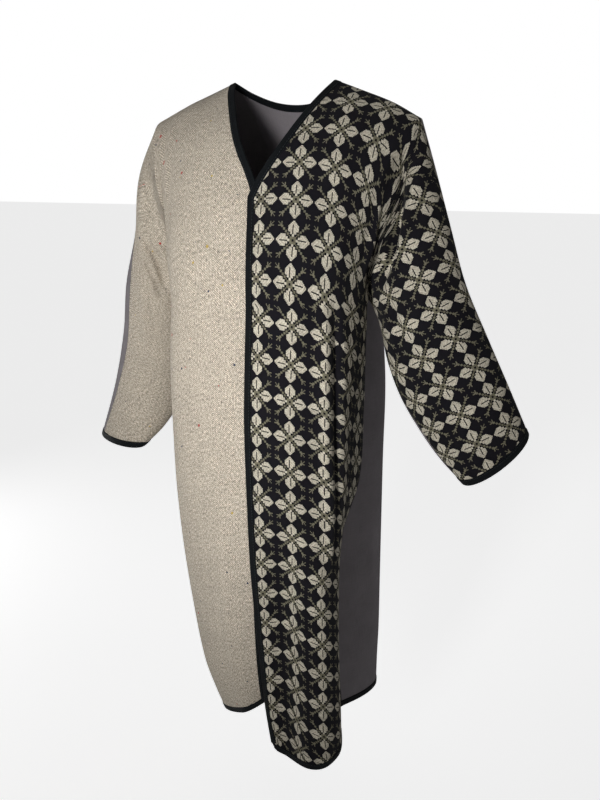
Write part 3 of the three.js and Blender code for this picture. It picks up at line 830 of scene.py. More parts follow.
def over_cloth(points, inward, distance):
    """The cloth's surface and normal at a distance in from an edge."""
    tree = outer_tree()
    found = [tree.find_nearest(Vector(place)) for place in points + inward * distance]
    return np.array([hit[0][:] for hit in found]), np.array([hit[1][:] for hit in found])


def binding_section(points, normals, inward, width, thick):
    """The points round each section: over the outer face, the raw edge, the inner face and back."""
    sections = {0.0: (points, normals)}
    for share in {share for share, _ in BINDING_FACE} - {0.0}:
        sections[share] = over_cloth(points, inward, share * width)
    face = [(*sections[share], high * thick + FACE_GAP) for share, high in BINDING_FACE]
    past, over = (share * thick for share in BINDING_FOLD)
    fold = [
        points + normals * over - inward * past,
        points - normals * (CLOTH / 2) - inward * thick,
        points - normals * (CLOTH + over) - inward * past,
    ]
    place, up = sections[1.0]
    lining = [
        place - up * (CLOTH + LINING_GAP),
        points - normals * (CLOTH + LINING_GAP) + inward * LINING_END,
        points + normals * LINING_GAP + inward * LINING_END,
        place + up * LINING_GAP,
    ]
    outer = [place + up * high for place, up, high in face]
    inner = [place - up * (CLOTH + high) for place, up, high in reversed(face)]
    return np.stack(outer + fold + inner + lining, axis=1)


def binding_piece(name, path, closed, flip, width, thick):
    """One folded tape over a raw edge, and the length of the edge in millimetres."""
    points, normals, run = resampled(path, closed, BINDING_STEP)
    inward = edge_frames(points, normals, closed, flip)
    section = binding_section(points, normals, inward, width, thick)
    count, around = section.shape[:2]
    faces = []
    for here in range(count if closed else count - 1):
        there = (here + 1) % count
        for k in range(around):
            turn = (k + 1) % around
            quad = [(here, k), (here, turn), (there, turn), (there, k)]
            faces.append([place * around + corner for place, corner in quad])
    if not closed:
        faces.append(list(range(around))[::-1])
        faces.append([(count - 1) * around + k for k in range(around)])
    if flip < 0:
        faces = [face[::-1] for face in faces]
    side_run = run_along(section[0])
    uvs = [(run[corner // around], side_run[corner % around]) for face in faces for corner in face]
    return add_piece(name, section.reshape(-1, 3), faces, uvs), run[-1]


# The pitch of the stitches for one stitch's length, and the share of a binding's width that they
# run in from the raw edge.
STITCH_SPACING = 1.4
STITCH_SHARE = 0.75
# How high a stitch lies above the binding's face, and how flat it is pressed.
STITCH_HEIGHT = 0.1
STITCH_FLATNESS = 0.8


def stitch_shape(length, thick):
    """One stitch as a round grain lying along Z: its points in millimetres and its faces."""
    bpy.ops.object.select_all(action="DESELECT")
    bpy.ops.mesh.primitive_uv_sphere_add(segments=6, ring_count=4, radius=thick / 2)
    grain = bpy.context.active_object
    bpy.ops.object.mode_set(mode="EDIT")
    bpy.ops.mesh.select_all(action="SELECT")
    bpy.ops.transform.resize(value=(1.0, STITCH_FLATNESS, length / thick))
    bpy.ops.object.mode_set(mode="OBJECT")
    points = np.array([vertex.co[:] for vertex in grain.data.vertices]) / MM
    faces = [list(polygon.vertices) for polygon in grain.data.polygons]
    mesh = grain.data
    bpy.data.objects.remove(grain)
    bpy.data.meshes.remove(mesh)
    return points, faces


def stitch_line(path, closed, flip, width, thick, pitch):
    """Where a binding's stitches lie, which way each runs, and which way is up there."""
    points, normals, _ = resampled(path, closed, pitch)
    inward = edge_frames(points, normals, closed, flip)
    place, up = over_cloth(points, inward, STITCH_SHARE * width)
    line = place + up * (thick + STITCH_HEIGHT)
    ahead = np.gradient(line, axis=0)
    if closed:
        ahead = np.roll(line, -1, axis=0) - np.roll(line, 1, axis=0)
    return line, unit(ahead - up * np.sum(ahead * up, axis=1, keepdims=True)), up


def sewn_piece(name, points, faces, line, ahead, up):
    """A copy of the stitch at each place of the line, all in one mesh."""
    axes = np.stack([np.cross(up, ahead), up, ahead], axis=1)
    copies = line[:, None, :] + np.einsum("pk,nkc->npc", points, axes)
    shift = len(points)
    copied = [[k * shift + i for i in face] for k in range(len(line)) for face in faces]
    return add_piece(name, copies.reshape(-1, 3), copied)


# ---------------------------------------------------------------- values in node trees
def feed(entry, value):
    """Links a value to a socket, or sets the socket's own number, colour or place."""
    if isinstance(value, Value):
        entry.id_data.links.new(value.socket, entry)
    else:
        entry.default_value = value


def add_node(tree, kind, settings=None, **inputs):
    """A new node with its settings and inputs. Gives the values that it puts out, in order."""
    node = tree.nodes.new(kind)
    for key, value in (settings or {}).items():
        setattr(node, key, value)
    for key, value in inputs.items():
        feed(node.inputs[key.replace("_", " ")], value)
    return [Value(socket) for socket in node.outputs]


def math_node(tree, operation, *values):
    """The value of one sum of numbers and values."""
    node = tree.nodes.new("ShaderNodeMath")
    node.operation = operation
    for entry, value in zip(node.inputs, values):
        feed(entry, value)
    return Value(node.outputs[0])


class Value:
    """Something that a node tree works out. Each sum on it adds one node to that tree."""

    def __init__(self, socket):
        self.socket = socket
        self.tree = socket.id_data

    def then(self, operation, *others):
        """The value of a sum that starts with this one."""
        return math_node(self.tree, operation, self, *others)

    __add__ = partialmethod(then, "ADD")
    __sub__ = partialmethod(then, "SUBTRACT")
    __mul__ = partialmethod(then, "MULTIPLY")
    __truediv__ = partialmethod(then, "DIVIDE")
    __mod__ = partialmethod(then, "MODULO")
    __gt__ = partialmethod(then, "GREATER_THAN")
    __lt__ = partialmethod(then, "LESS_THAN")
    __abs__ = partialmethod(then, "ABSOLUTE")
    floor = partialmethod(then, "FLOOR")
    sign = partialmethod(then, "SIGN")
    sine = partialmethod(then, "SINE")
    most = partialmethod(then, "MAXIMUM")
    least = partialmethod(then, "MINIMUM")

    def __rsub__(self, other):
        return math_node(self.tree, "SUBTRACT", other, self)

    def __rtruediv__(self, other):
        return math_node(self.tree, "DIVIDE", other, self)

    def vector(self, operation, other):
        """The place that comes of a sum done on each axis."""
        node = self.tree.nodes.new("ShaderNodeVectorMath")
        node.operation = operation
        for entry, value in zip(node.inputs, (self, other)):
            feed(entry, value)
        return Value(node.outputs[0])

    def parts(self):
        """Across, up and out, each as a number."""
        return add_node(self.tree, "ShaderNodeSeparateXYZ", Vector=self)

    def between(self, low, high):
        """0 at low and 1 at high, with a smooth turn at both."""
        node = self.tree.nodes.new("ShaderNodeMapRange")
        node.interpolation_type = "SMOOTHSTEP"
        for entry, value in zip(node.inputs, (self, low, high, 0.0, 1.0)):
            feed(entry, value)
        return Value(node.outputs[0])


def noise(place, scale, detail, **more):
    """Soft noise from 0 to 1 over a place."""
    more.update(Vector=place, Scale=scale, Detail=detail)
    return add_node(place.tree, "ShaderNodeTexNoise", **more)[0]


def stretched(place, scale):
    """The place scaled along each axis."""
    return add_node(place.tree, "ShaderNodeMapping", Vector=place, Scale=scale)[0]


def blend(share, low, high):
    """A colour that goes from low to high as share goes from 0 to 1."""
    node = share.tree.nodes.new("ShaderNodeMix")
    node.data_type = "RGBA"
    feed(node.inputs[0], share)
    for entry, colour in ((node.inputs[6], low), (node.inputs[7], high)):
        feed(entry, colour if isinstance(colour, Value) else (*colour, 1.0))
    return Value(node.outputs[2])


def shaded(colour, shade, amount):
    """The colour made lighter or darker by a shade about 0."""
    node = shade.tree.nodes.new("ShaderNodeVectorMath")
    node.operation = "SCALE"
    feed(node.inputs[0], colour if isinstance(colour, Value) else colour[:3])
    feed(node.inputs["Scale"], shade.then("MULTIPLY_ADD", amount, 1.0))
    return Value(node.outputs[0])


def object_place(tree):
    """The place on the piece itself."""
    return Value(tree.nodes.new("ShaderNodeTexCoord").outputs["Object"])


def seen_or_cast(tree, seen, cast):
    """One strength for what is looked at, another for the light it gives."""
    looked_at = add_node(tree, "ShaderNodeLightPath")[0]
    return add_node(tree, "ShaderNodeMapRange", Value=looked_at, To_Min=cast, To_Max=seen)[0]


# ---------------------------------------------------------------- effects that materials share
def new_group(name, inputs, outputs):
    """An empty node group, the values that it is given by name, and the sockets it puts out."""
    group = bpy.data.node_groups.new(name, "ShaderNodeTree")
    for label, kind, default in inputs:
        socket = group.interface.new_socket(label, in_out="INPUT", socket_type=f"NodeSocket{kind}")
        if default is not None:
            socket.default_value = default
    for label, kind in outputs:
        group.interface.new_socket(label, in_out="OUTPUT", socket_type=f"NodeSocket{kind}")
    given = {socket.name: Value(socket) for socket in group.nodes.new("NodeGroupInput").outputs}
    return group, given, group.nodes.new("NodeGroupOutput").inputs


def place_group(tree, group, **inputs):
    """Puts a group into a node tree. Gives the values that it puts out, by name."""
    node = tree.nodes.new("ShaderNodeGroup")
    node.node_tree = group
    for key, value in inputs.items():
        feed(node.inputs[key], value)
    return {socket.name: Value(socket) for socket in node.outputs}


# The thick and thin places of a woven yarn, in each metre along it and across it.
YARN_SLUB = (45, 900)


@cache
def yarn_group():
    """Plain woven threads: their relief, and the uneven shade of warp and weft."""
    group, given, out = new_group(
        "Woven yarn",
        [("Place", "Vector", None), ("Spacing", "Float", 0.001), ("Unevenness", "Float", 0.5)],
        [("Relief", "Float"), ("Shade", "Float")],
    )
    place = given["Place"]
    turn = math.pi / given["Spacing"]
    across, up, _ = place.parts()
    over = (across * turn).sine() * (up * turn).sine()
    along_it, across_it = YARN_SLUB
    warp = noise(stretched(place, (across_it, along_it, 0)), scale=1.0, detail=2.0)
    weft = noise(stretched(place, (along_it, across_it, 0)), scale=1.0, detail=2.0)
    feed(out["Relief"], over.then("MULTIPLY_ADD", 0.5, 0.5))
    feed(out["Shade"], (warp + weft - 1.0) * given["Unevenness"])
    return group


# How many times finer the nap is than the broad shade of the cloth.
NAP_FINENESS = 24.0


@cache
def wear_group():
    """Soft unevenness of a worn cloth: broad shade, and nap that stands up a little."""
    group, given, out = new_group(
        "Cloth nap",
        [("Place", "Vector", None), ("Size", "Float", 0.03)],
        [("Shade", "Float"), ("Nap", "Float")],
    )
    scale = 1.0 / given["Size"]
    feed(out["Shade"], noise(given["Place"], scale, detail=3.0) - 0.5)
    feed(out["Nap"], noise(given["Place"], scale * NAP_FINENESS, detail=3.0))
    return group


@cache
def fleck_group():
    """Small specks of dyed fibre, at most one in each cell of the cloth."""
    group, given, out = new_group(
        "Fibre flecks",
        [("Place", "Vector", None), ("Cell", "Float", 0.012), ("Size", "Float", 0.1),
         ("Share", "Float", 0.1)],
        [("Mask", "Float")],
    )
    scale = 1.0 / given["Cell"]
    cells = add_node(group, "ShaderNodeTexVoronoi", Vector=given["Place"], Scale=scale)
    distance, chance = cells[:2]
    kept, big, _ = add_node(group, "ShaderNodeSeparateColor", Color=chance)
    spot = distance < given["Size"] * (big + 0.5)
    feed(out["Mask"], (kept < given["Share"]) * spot)
    return group


# How far a rib strays from its line, and how many stray places there are in a metre.
RIB_STRAY = 0.0022
RIB_STRAYS = 160.0
# The slub of the ribs: how many thick and thin places there are in a metre across a rib, and the
# share of that number along it. Then how much a rib itself stands out beside its slub.
RIB_SLUB = 620.0
RIB_SLUB_STRETCH = 0.3
RIB_DEPTH = 0.3


@cache
def herringbone_group():
    """The slanting ribs of a herringbone tweed, with thick and thin places in the yarn. Its shade
    follows the relief: painted highlight on the ribs and painted shade between them.
    """
    group, given, out = new_group(
        "Herringbone",
        [("Place", "Vector", None), ("Column", "Float", 0.011), ("Rib", "Float", 0.0031)],
        [("Relief", "Float"), ("Shade", "Float")],
    )
    across, up, _ = given["Place"].parts()
    stray = (noise(given["Place"], RIB_STRAYS, detail=1.0) - 0.5) * RIB_STRAY
    zigzag = across.then("PINGPONG", given["Column"])
    slant = up + zigzag + stray
    wave = (slant * (2 * math.pi) / given["Rib"]).sine()
    beside = (up - zigzag) * RIB_SLUB_STRETCH
    joined = add_node(group, "ShaderNodeCombineXYZ", X=slant, Y=beside)[0]
    slub = noise(joined, RIB_SLUB, detail=2.0, Roughness=0.6)
    relief = wave.then("MULTIPLY_ADD", RIB_DEPTH, slub)
    feed(out["Relief"], relief)
    # The shade is the relief itself, so the colour it drives is painted highlight on the ribs and
    # painted shade between them.
    feed(out["Shade"], relief - 0.5)
    return group


# The leaf figure is charted in stitches. A repeat is a square of them, with a rosette of four
# leaves about its middle and four slanting stems between the leaves.
REPEAT_STITCHES = 34
# A leaf: where it starts and ends, half its width and how blunt its ends are (below 1), its teeth,
# how far its outline is drawn in between them, and how far apart its veins are. Then the dark rib
# down its middle, which slants over the middle line about "middle".
LEAF = {
    "from": 3.3, "to": 15.9, "half_width": 4.95, "fullness": 0.95,
    "tooth": 0.55, "tooth_pitch": 2.0, "drawn_in": 0.25, "vein_pitch": 3.0,
}
RIB = {"from": 4.6, "to": 13.2, "middle": 9.0, "slant": -0.09, "half_width": 0.55}
# A stem with beads beside it, the bud at its end, and the ring in the middle of the rosette.
STEM = {"from": 2.4, "to": 12.0, "half_width": 0.75, "beads_from": 3.4, "bead_pitch": 4.0}
BUD = {"from": 11.5, "to": 14.9}
EYE = {"inner": 0.9, "outer": 2.6}


@cache
def leaf_group():
    """The leaf rosette as a chart of stitches: masks of its leaves, their veins and its stems."""
    group, given, out = new_group(
        "Leaf chart",
        [("Place", "Vector", None), ("Repeat", "Vector", (0.05, 0.05, 1.0))],
        [("Leaves", "Float"), ("Stems", "Float"), ("Veins", "Float"), ("Stitch", "Vector")],
    )
    repeats = given["Place"].vector("DIVIDE", given["Repeat"]).parts()[:2]
    stitches = [(part * REPEAT_STITCHES).floor() for part in repeats]
    half = REPEAT_STITCHES / 2
    # Stitches off the rosette's middle, across and up, then out along a leaf and beside it.
    p, q = [(stitch + 0.5).then("WRAP", half, -half) for stitch in stitches]
    wide, tall = abs(p), abs(q)
    sideways = wide > tall
    out_from = wide.most(tall)
    aside = q * p.sign() * sideways - p * q.sign() * (1.0 - sideways)

    grown = (out_from - LEAF["from"]) / (LEAF["to"] - LEAF["from"])
    swell = (grown.most(0.0) * math.pi).sine().then("POWER", LEAF["fullness"])
    teeth = out_from.floor() % LEAF["tooth_pitch"] * LEAF["tooth"] - LEAF["drawn_in"]
    edge = swell * LEAF["half_width"] + teeth
    blade = (grown > 0.0) * (grown < 1.0) * (abs(aside) < edge)
    rib_line = (out_from - RIB["middle"]) * RIB["slant"] + 0.5
    rib = (out_from > RIB["from"]) * (out_from < RIB["to"])
    rib *= abs(aside - rib_line) < RIB["half_width"]
    leaves = blade * (1.0 - rib)
    veins = (out_from + abs(aside)).floor() % LEAF["vein_pitch"] < 0.5

    gap = abs(wide - tall)
    reach = (wide + tall) * 0.5
    short = reach < STEM["to"]
    stalk = (gap < STEM["half_width"]) * (reach > STEM["from"]) * short
    beads = (wide + tall).floor() % STEM["bead_pitch"] > 0.5
    beads *= (abs(gap - 1.0) < 0.5) * (reach > STEM["beads_from"]) * short
    bud_end = out_from < BUD["to"]
    claw = wide.least(tall).then("COMPARE", BUD["from"], 0.1) * bud_end
    spur = (gap < 0.5) * bud_end * (reach > BUD["from"])
    eye = (out_from < EYE["outer"]) * (out_from > EYE["inner"])
    stems = stalk.most(beads).most(claw.most(spur)).most(eye)

    feed(out["Leaves"], leaves)
    feed(out["Veins"], veins)
    feed(out["Stems"], stems * (1.0 - leaves))
    stitch_across, stitch_up = stitches
    stitch = add_node(group, "ShaderNodeCombineXYZ", X=stitch_across, Y=stitch_up)[0]
    feed(out["Stitch"], stitch)
    return group


# ---------------------------------------------------------------- materials
def new_material(name, roughness, specular):
    """A new material, with its shader and its node tree."""
    material = bpy.data.materials.new(name)
    material.use_nodes = True
    shader = material.node_tree.nodes["Principled BSDF"]
    shader.inputs["Roughness"].default_value = roughness
    shader.inputs["Specular IOR Level"].default_value = specular
    return material, shader, material.node_tree


def cloth_material(name, roughness, sheen):
    """A fabric material with its shader, and the place on the flat cloth."""
    material, shader, tree = new_material(name, roughness, specular=0.12)
    shader.inputs["Sheen Weight"].default_value = sheen
    shader.inputs["Sheen Roughness"].default_value = 0.5
    return material, shader, add_node(tree, "ShaderNodeUVMap", {"uv_map": "Cloth"})[0]


def raise_relief(shader, height, distance):
    """Raises the surface by a height from 0 to about 1, over a distance in metres."""
    bump = add_node(height.tree, "ShaderNodeBump", Height=height, Distance=distance)[0]
    feed(shader.inputs["Normal"], bump)


# Thick and thin places of the tweed's yarn, in each metre across and up the cloth, and how much
# they shade it.
TWEED_SLUB = (440.0, 240.0, 1.0)
TWEED_SLUB_SHADE = 2.5
# The values of the herringbone between which the tweed goes from its dark to its light: painted
# shade between the ribs and painted highlight on them, over the yarn's own two tones.
TWEED_TONES = (-0.25, 0.3)
# Each dye's cell in metres, the share of cells that have a fleck, and its shift across and up.
FLECKS = {
    "navy": (0.011, 0.10, 3.1, 2.17),
    "rust": (0.013, 0.07, 7.7, 5.39),
    "gold": (0.012, 0.05, 1.3, 0.91),
}
# A fleck's size as a share of its cell.
FLECK_SIZE = 0.12


def tweed_material():
    """The cream herringbone, with flecks of three dyes."""
    colours = bpy.context.scene.abaya_colours
    material, shader, place = cloth_material("Cream tweed", roughness=0.92, sheen=0.04)
    tree = material.node_tree
    rib = place_group(tree, herringbone_group(), Place=place)
    nap = place_group(tree, wear_group(), Place=place, Size=0.035)
    # The ribs are painted lighter and the hollows between them painted darker, by their relief,
    # over the yarn's own light and dark.
    base = blend(rib["Shade"].between(*TWEED_TONES), colours.tweed_dark_and_rib_shade, colours.tweed)
    slub = noise(stretched(place, TWEED_SLUB), scale=1.0, detail=4.0)
    base = shaded(base, slub - 0.5, TWEED_SLUB_SHADE)
    base = shaded(base, nap["Shade"], amount=0.3)
    for dye, (cell, share, across, up) in FLECKS.items():
        moved = place.vector("ADD", (across, up, 0))
        values = {"Place": moved, "Cell": cell, "Size": FLECK_SIZE, "Share": share}
        spots = place_group(tree, fleck_group(), **values)
        base = blend(spots["Mask"], base, getattr(colours, f"fleck_{dye}"))
    feed(shader.inputs["Base Color"], base)
    raise_relief(shader, rib["Relief"] + nap["Nap"] * 0.5, distance=0.0006)
    return material


# How much the yarn and the nap shade the ground, the stems and the leaves, and how much darker the
# veins of a leaf are.
FIGURED_SHADE = {"ground": 0.5, "stem": 0.4, "leaf": 0.45, "vein": -0.26}


def figured_material():
    """The black cloth with its leaf rosettes, worked in stitches of uneven shade."""
    colours = bpy.context.scene.abaya_colours
    sizes = bpy.context.scene.abaya_sizes
    material, shader, place = cloth_material("Figured black cloth", roughness=0.9, sheen=0.02)
    tree = material.node_tree
    moved = place.vector("ADD", (sizes.leaf_start_across, sizes.leaf_start_up, 0))
    repeat = (sizes.leaf_repeat_across, sizes.leaf_repeat_up, 1)
    chart = place_group(tree, leaf_group(), Place=moved, Repeat=repeat)
    yarn = place_group(tree, yarn_group(), Place=place, Spacing=0.00085, Unevenness=0.9)
    nap = place_group(tree, wear_group(), Place=place, Size=0.04)
    settings = {"noise_dimensions": "2D"}
    speckle = add_node(tree, "ShaderNodeTexWhiteNoise", settings, Vector=chart["Stitch"])[0] - 0.5
    shade = yarn["Shade"] + nap["Shade"]
    base = shaded(colours.figured_ground, shade, FIGURED_SHADE["ground"])
    stem = shaded(colours.figured_stem, shade + speckle, FIGURED_SHADE["stem"])
    leaf = shaded(colours.figured_leaf, shade + speckle, FIGURED_SHADE["leaf"])
    leaf = shaded(leaf, chart["Veins"], FIGURED_SHADE["vein"])
    base = blend(chart["Stems"], base, stem)
    feed(shader.inputs["Base Color"], blend(chart["Leaves"], base, leaf))
    figure = chart["Leaves"].most(chart["Stems"])
    raise_relief(shader, yarn["Relief"] * 0.5 + figure * 0.6, distance=0.0004)
    return material


def woven_material(name, colour, roughness, sheen, spacing, unevenness, nap_size, contrast):
    """A plain weave in one colour, with its threads spaced as given in metres."""
    material, shader, place = cloth_material(name, roughness, sheen)
    tree = material.node_tree
    yarn = place_group(tree, yarn_group(), Place=place, Spacing=spacing, Unevenness=unevenness)
    nap = place_group(tree, wear_group(), Place=place, Size=nap_size)
    feed(shader.inputs["Base Color"], shaded(colour, yarn["Shade"] + nap["Shade"], contrast))
    raise_relief(shader, yarn["Relief"] + nap["Nap"], distance=0.0003)
    return material


def grey_material():
    """The plain cloth of the back."""
    return woven_material(
        "Grey suiting", bpy.context.scene.abaya_colours.grey, roughness=0.88, sheen=0.04,
        spacing=0.0008, unevenness=0.9, nap_size=0.05, contrast=0.35,
    )


def binding_material():
    """The tape of the bindings."""
    return woven_material(
        "Binding tape", bpy.context.scene.abaya_colours.binding, roughness=0.7, sheen=0.01,
        spacing=0.0006, unevenness=0.6, nap_size=0.02, contrast=0.5,
    )


# The twists of the sewing thread in a metre, and how much they shade it.
TWISTS = 1400.0
TWIST_SHADE = 0.8


def thread_material():
    """The thread that the bindings are sewn with."""
    material, shader, tree = new_material("Sewing thread", roughness=0.55, specular=0.3)
    twist = noise(object_place(tree), scale=TWISTS, detail=2.0)
    thread = bpy.context.scene.abaya_colours.thread
    feed(shader.inputs["Base Color"], shaded(thread, twist - 0.5, TWIST_SHADE))
    raise_relief(shader, twist, distance=0.0001)
    return material


# How bright the paper is to look at, and how much light it casts on the coat.
PAPER_BRIGHTNESS = 0.66
PAPER_LIGHT = 0.08
# The two tones of its unevenness.
PAPER_TONES = ((0.9, 0.9, 0.9), (0.93, 0.93, 0.93))


def paper_material():
    """The pale floor, which looks brighter than the light that it gives the coat."""
    material, shader, tree = new_material("Pale paper", roughness=0.95, specular=0.1)
    grain = noise(object_place(tree), scale=3.0, detail=2.0)
    feed(shader.inputs["Base Color"], blend(grain, *PAPER_TONES))
    shader.inputs["Emission Color"].default_value = (1, 1, 1, 1)
    feed(shader.inputs["Emission Strength"], seen_or_cast(tree, PAPER_BRIGHTNESS, PAPER_LIGHT))
    return material


# ---------------------------------------------------------------- operators
def length_property(name, description, default):
    """A length in metres that a user can change."""
    return FloatProperty(name=name, description=description, default=default, unit="LENGTH")


def colour_property(name, description, *default):
    """A colour that a user can change."""
    return FloatVectorProperty(
        name=name, description=description, default=default, subtype="COLOR", min=0, max=1,
    )


class AbayaSizes(bpy.types.PropertyGroup):
    leaf_repeat_across: length_property(
        "Leaf repeat across", "Width of one repeat of the leaf figure", 0.0495,
    )
    leaf_repeat_up: length_property(
        "Leaf repeat up", "Height of one repeat of the leaf figure", 0.054,
    )
    leaf_start_across: length_property(
        "Leaf start across", "How far the figure is shifted across the cloth", -0.020,
    )
    leaf_start_up: length_property(
        "Leaf start up", "How far the figure is shifted up the cloth", 0.0145,
    )
    binding_width: length_property(
        "Binding width", "How far each binding lies over the cloth", 0.010,
    )
    binding_thickness: length_property(
        "Binding thickness", "Thickness of the folded tape on each side of the cloth", 0.0009,
    )
    stitch_length: length_property(
        "Stitch length", "Length of each stitch that holds the bindings", 0.0032,
    )
    thread_thickness: length_property(
        "Thread thickness", "Thickness of the sewing thread", 0.0006,
    )


class AbayaColours(bpy.types.PropertyGroup):
    # The light yarn, with the painted highlight where the ribs stand up.
    tweed: colour_property(
        "Tweed, light", "The tweed where its ribs catch the light", 0.62, 0.555, 0.46,
    )
    # The dark yarn, with the painted shade in the hollows between the ribs.
    tweed_dark_and_rib_shade: colour_property("Tweed, dark", "The tweed between its ribs", 0.24, 0.205, 0.16)
    fleck_navy: colour_property("Navy flecks", "The blue fibres in the tweed", 0.03, 0.04, 0.07)
    fleck_rust: colour_property("Red flecks", "The red fibres in the tweed", 0.38, 0.06, 0.05)
    fleck_gold: colour_property("Yellow flecks", "The yellow fibres in the tweed", 0.42, 0.30, 0.08)
    figured_ground: colour_property(
        "Figured ground", "The black of the leaf cloth", 0.0052, 0.0048, 0.0068,
    )
    figured_leaf: colour_property(
        "Leaves", "The leaves of the figured cloth", 0.44, 0.405, 0.325,
    )
    figured_stem: colour_property(
        "Stems", "The stems and buds of the figured cloth", 0.13, 0.12, 0.082,
    )
    grey: colour_property("Grey", "The plain cloth of the back", 0.185, 0.169, 0.178)
    binding: colour_property("Binding", "The tape round the edges", 0.0030, 0.0042, 0.0052)
    thread: colour_property("Thread", "The stitching of the bindings", 0.014, 0.016, 0.019)


class ABAYA_OT_front_right(bpy.types.Operator):
    """Make the cream tweed right front with its half sleeve"""

    bl_idname = "abaya.front_right"
    bl_label = "Right front"

    def execute(self, context):
        piece = cloth_piece("front_right")
        dress(piece, "front_right", tweed_material())
        return {"FINISHED"}


class ABAYA_OT_front_left(bpy.types.Operator):
    """Make the leaf-figured left front with its half sleeve"""

    bl_idname = "abaya.front_left"
    bl_label = "Left front"

    def execute(self, context):
        piece = cloth_piece("front_left")
        dress(piece, "front_left", figured_material())
        return {"FINISHED"}


class ABAYA_OT_back(bpy.types.Operator):
    """Make the plain grey back with both its half sleeves"""

    bl_idname = "abaya.back"
    bl_label = "Back"

    def execute(self, context):
        piece = cloth_piece("back")
        dress(piece, "back", grey_material())
        return {"FINISHED"}


class ABAYA_OT_bindings(bpy.types.Operator):
    """Make the dark bindings round the front and neck, the hem and the cuffs"""

    bl_idname = "abaya.bindings"
    bl_label = "Bindings"

    def execute(self, context):
        sizes = context.scene.abaya_sizes
        width, thick = sizes.binding_width / MM, sizes.binding_thickness / MM
        material = binding_material()
        for name, path, closed, flip in binding_runs():
            piece, length = binding_piece(f"tape_{name}", path, closed, flip, width, thick)
            dress(piece, f"binding_{name}", material)
            length * MM
        return {"FINISHED"}


class ABAYA_OT_stitching(bpy.types.Operator):
    """Sew the bindings down with a row of small stitches"""

    bl_idname = "abaya.stitching"
    bl_label = "Stitching"

    def execute(self, context):
        sizes = context.scene.abaya_sizes
        width, thick = sizes.binding_width / MM, sizes.binding_thickness / MM
        points, faces = stitch_shape(sizes.stitch_length, sizes.thread_thickness)
        pitch = sizes.stitch_length / MM * STITCH_SPACING
        material = thread_material()
        for name, path, closed, flip in binding_runs():
            line, ahead, up = stitch_line(path, closed, flip, width, thick, pitch)
            piece = sewn_piece(f"stitches_{name}", points, faces, line, ahead, up)
            dress(piece, None, material)
        return {"FINISHED"}


FLOOR_SIZE = 40.0
FLOOR_PARTS = 8
FLOOR_HEIGHT = -1.3
# How bright the pale room is behind the coat, and how much it lights the coat.
ROOM_BRIGHTNESS = 1.0
ROOM_LIGHT = 0.19
LAMP_AIM = (0.0, 0.0, -0.4)
# The place of each lamp, its width and height, how wide its beam spreads in degrees, its power.
LAMPS = {
    "Key": ((0.05, -1.6, -0.3), (0.2, 0.9), 46, 2.6),
    "Fill": ((2.0, -1.6, 0.2), (2.0, 2.0), 180, 2),
    "Rim": ((-2.2, 0.3, -1.0), (0.9, 0.9), 180, 14),
}
CAMERA_PLACE = (0.5461, -1.2893, -0.12)
# The camera's tilt up from straight down and its turn to the wearer's left, in degrees.
CAMERA_TILT = 75
CAMERA_TURN = 22
CAMERA_LENS = 40.5
CAMERA_SENSOR = 36


def add_lamp(name, place, size, spread, power):
    """A square-cornered lamp that looks towards the middle of the coat."""
    light = bpy.data.lights.new(name, "AREA")
    light.shape = "RECTANGLE"
    light.size, light.size_y = size
    light.spread = math.radians(spread)
    light.energy = power
    lamp = bpy.data.objects.new(name, light)
    lamp.location = place
    aim = Vector(LAMP_AIM) - Vector(place)
    lamp.rotation_euler = aim.to_track_quat("-Z", "Y").to_euler()
    bpy.context.collection.objects.link(lamp)


def add_camera():
    """A camera in front of the coat, near the height of its shoulders, on the wearer's left."""
    camera = bpy.data.cameras.new("Camera")
    camera.lens = CAMERA_LENS
    camera.sensor_width = CAMERA_SENSOR
    eye = bpy.data.objects.new("Camera", camera)
    eye.location = CAMERA_PLACE
    eye.rotation_euler = (math.radians(CAMERA_TILT), 0, math.radians(CAMERA_TURN))
    bpy.context.collection.objects.link(eye)
    return eye


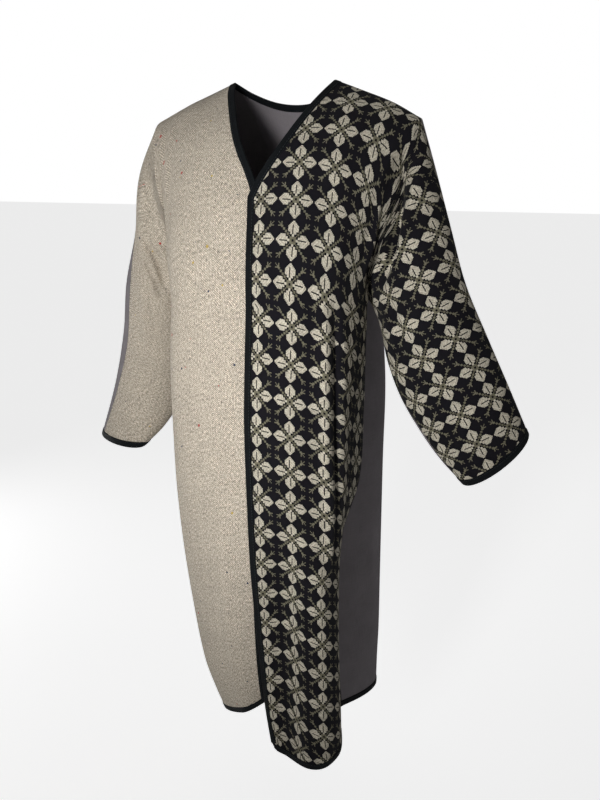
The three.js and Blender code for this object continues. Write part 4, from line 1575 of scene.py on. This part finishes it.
def light_room(scene):
    """A pale room that is brighter to look at than it lights the coat."""
    world = bpy.data.worlds.new("Studio")
    scene.world = world
    world.use_nodes = True
    background = world.node_tree.nodes["Background"]
    background.inputs["Color"].default_value = (1, 1, 1, 1)
    level = seen_or_cast(world.node_tree, ROOM_BRIGHTNESS, ROOM_LIGHT)
    feed(background.inputs["Strength"], level)


class ABAYA_OT_stage(bpy.types.Operator):
    """Make the pale floor, the lights and the camera"""

    bl_idname = "abaya.stage"
    bl_label = "Stage"

    def execute(self, context):
        scene = context.scene
        bpy.ops.object.select_all(action="DESELECT")
        bpy.ops.mesh.primitive_grid_add(
            x_subdivisions=FLOOR_PARTS, y_subdivisions=FLOOR_PARTS,
            size=FLOOR_SIZE, location=(0, 0, FLOOR_HEIGHT),
        )
        floor = context.active_object
        floor.name = "floor"
        floor.data.materials.append(paper_material())
        light_room(scene)
        for name, values in LAMPS.items():
            add_lamp(name, *values)
        scene.camera = add_camera()
        scene.view_settings.view_transform = "Standard"
        return {"FINISHED"}


class ABAYA_PT_panel(bpy.types.Panel):
    bl_label = "Abaya"
    bl_idname = "ABAYA_PT_panel"
    bl_space_type = "VIEW_3D"
    bl_region_type = "UI"
    bl_category = "Abaya"

    def draw(self, context):
        for operator in OPERATORS:
            self.layout.operator(operator.bl_idname)


OPERATORS = (
    ABAYA_OT_front_right,
    ABAYA_OT_front_left,
    ABAYA_OT_back,
    ABAYA_OT_bindings,
    ABAYA_OT_stitching,
    ABAYA_OT_stage,
)
CLASSES = (AbayaSizes, AbayaColours, *OPERATORS, ABAYA_PT_panel)


def register():
    for cls in CLASSES:
        bpy.utils.register_class(cls)
    bpy.types.Scene.abaya_sizes = PointerProperty(type=AbayaSizes)
    bpy.types.Scene.abaya_colours = PointerProperty(type=AbayaColours)


def unregister():
    del bpy.types.Scene.abaya_colours
    del bpy.types.Scene.abaya_sizes
    for cls in reversed(CLASSES):
        bpy.utils.unregister_class(cls)


def main():
    register()
    bpy.ops.object.select_all(action="DESELECT")
    bpy.ops.abaya.front_right()
    bpy.ops.abaya.front_left()
    bpy.ops.abaya.back()
    bpy.ops.abaya.bindings()
    bpy.ops.abaya.stitching()
    bpy.ops.abaya.stage()
    bpy.context.view_layer.update()


if __name__ == "__main__":
    main()
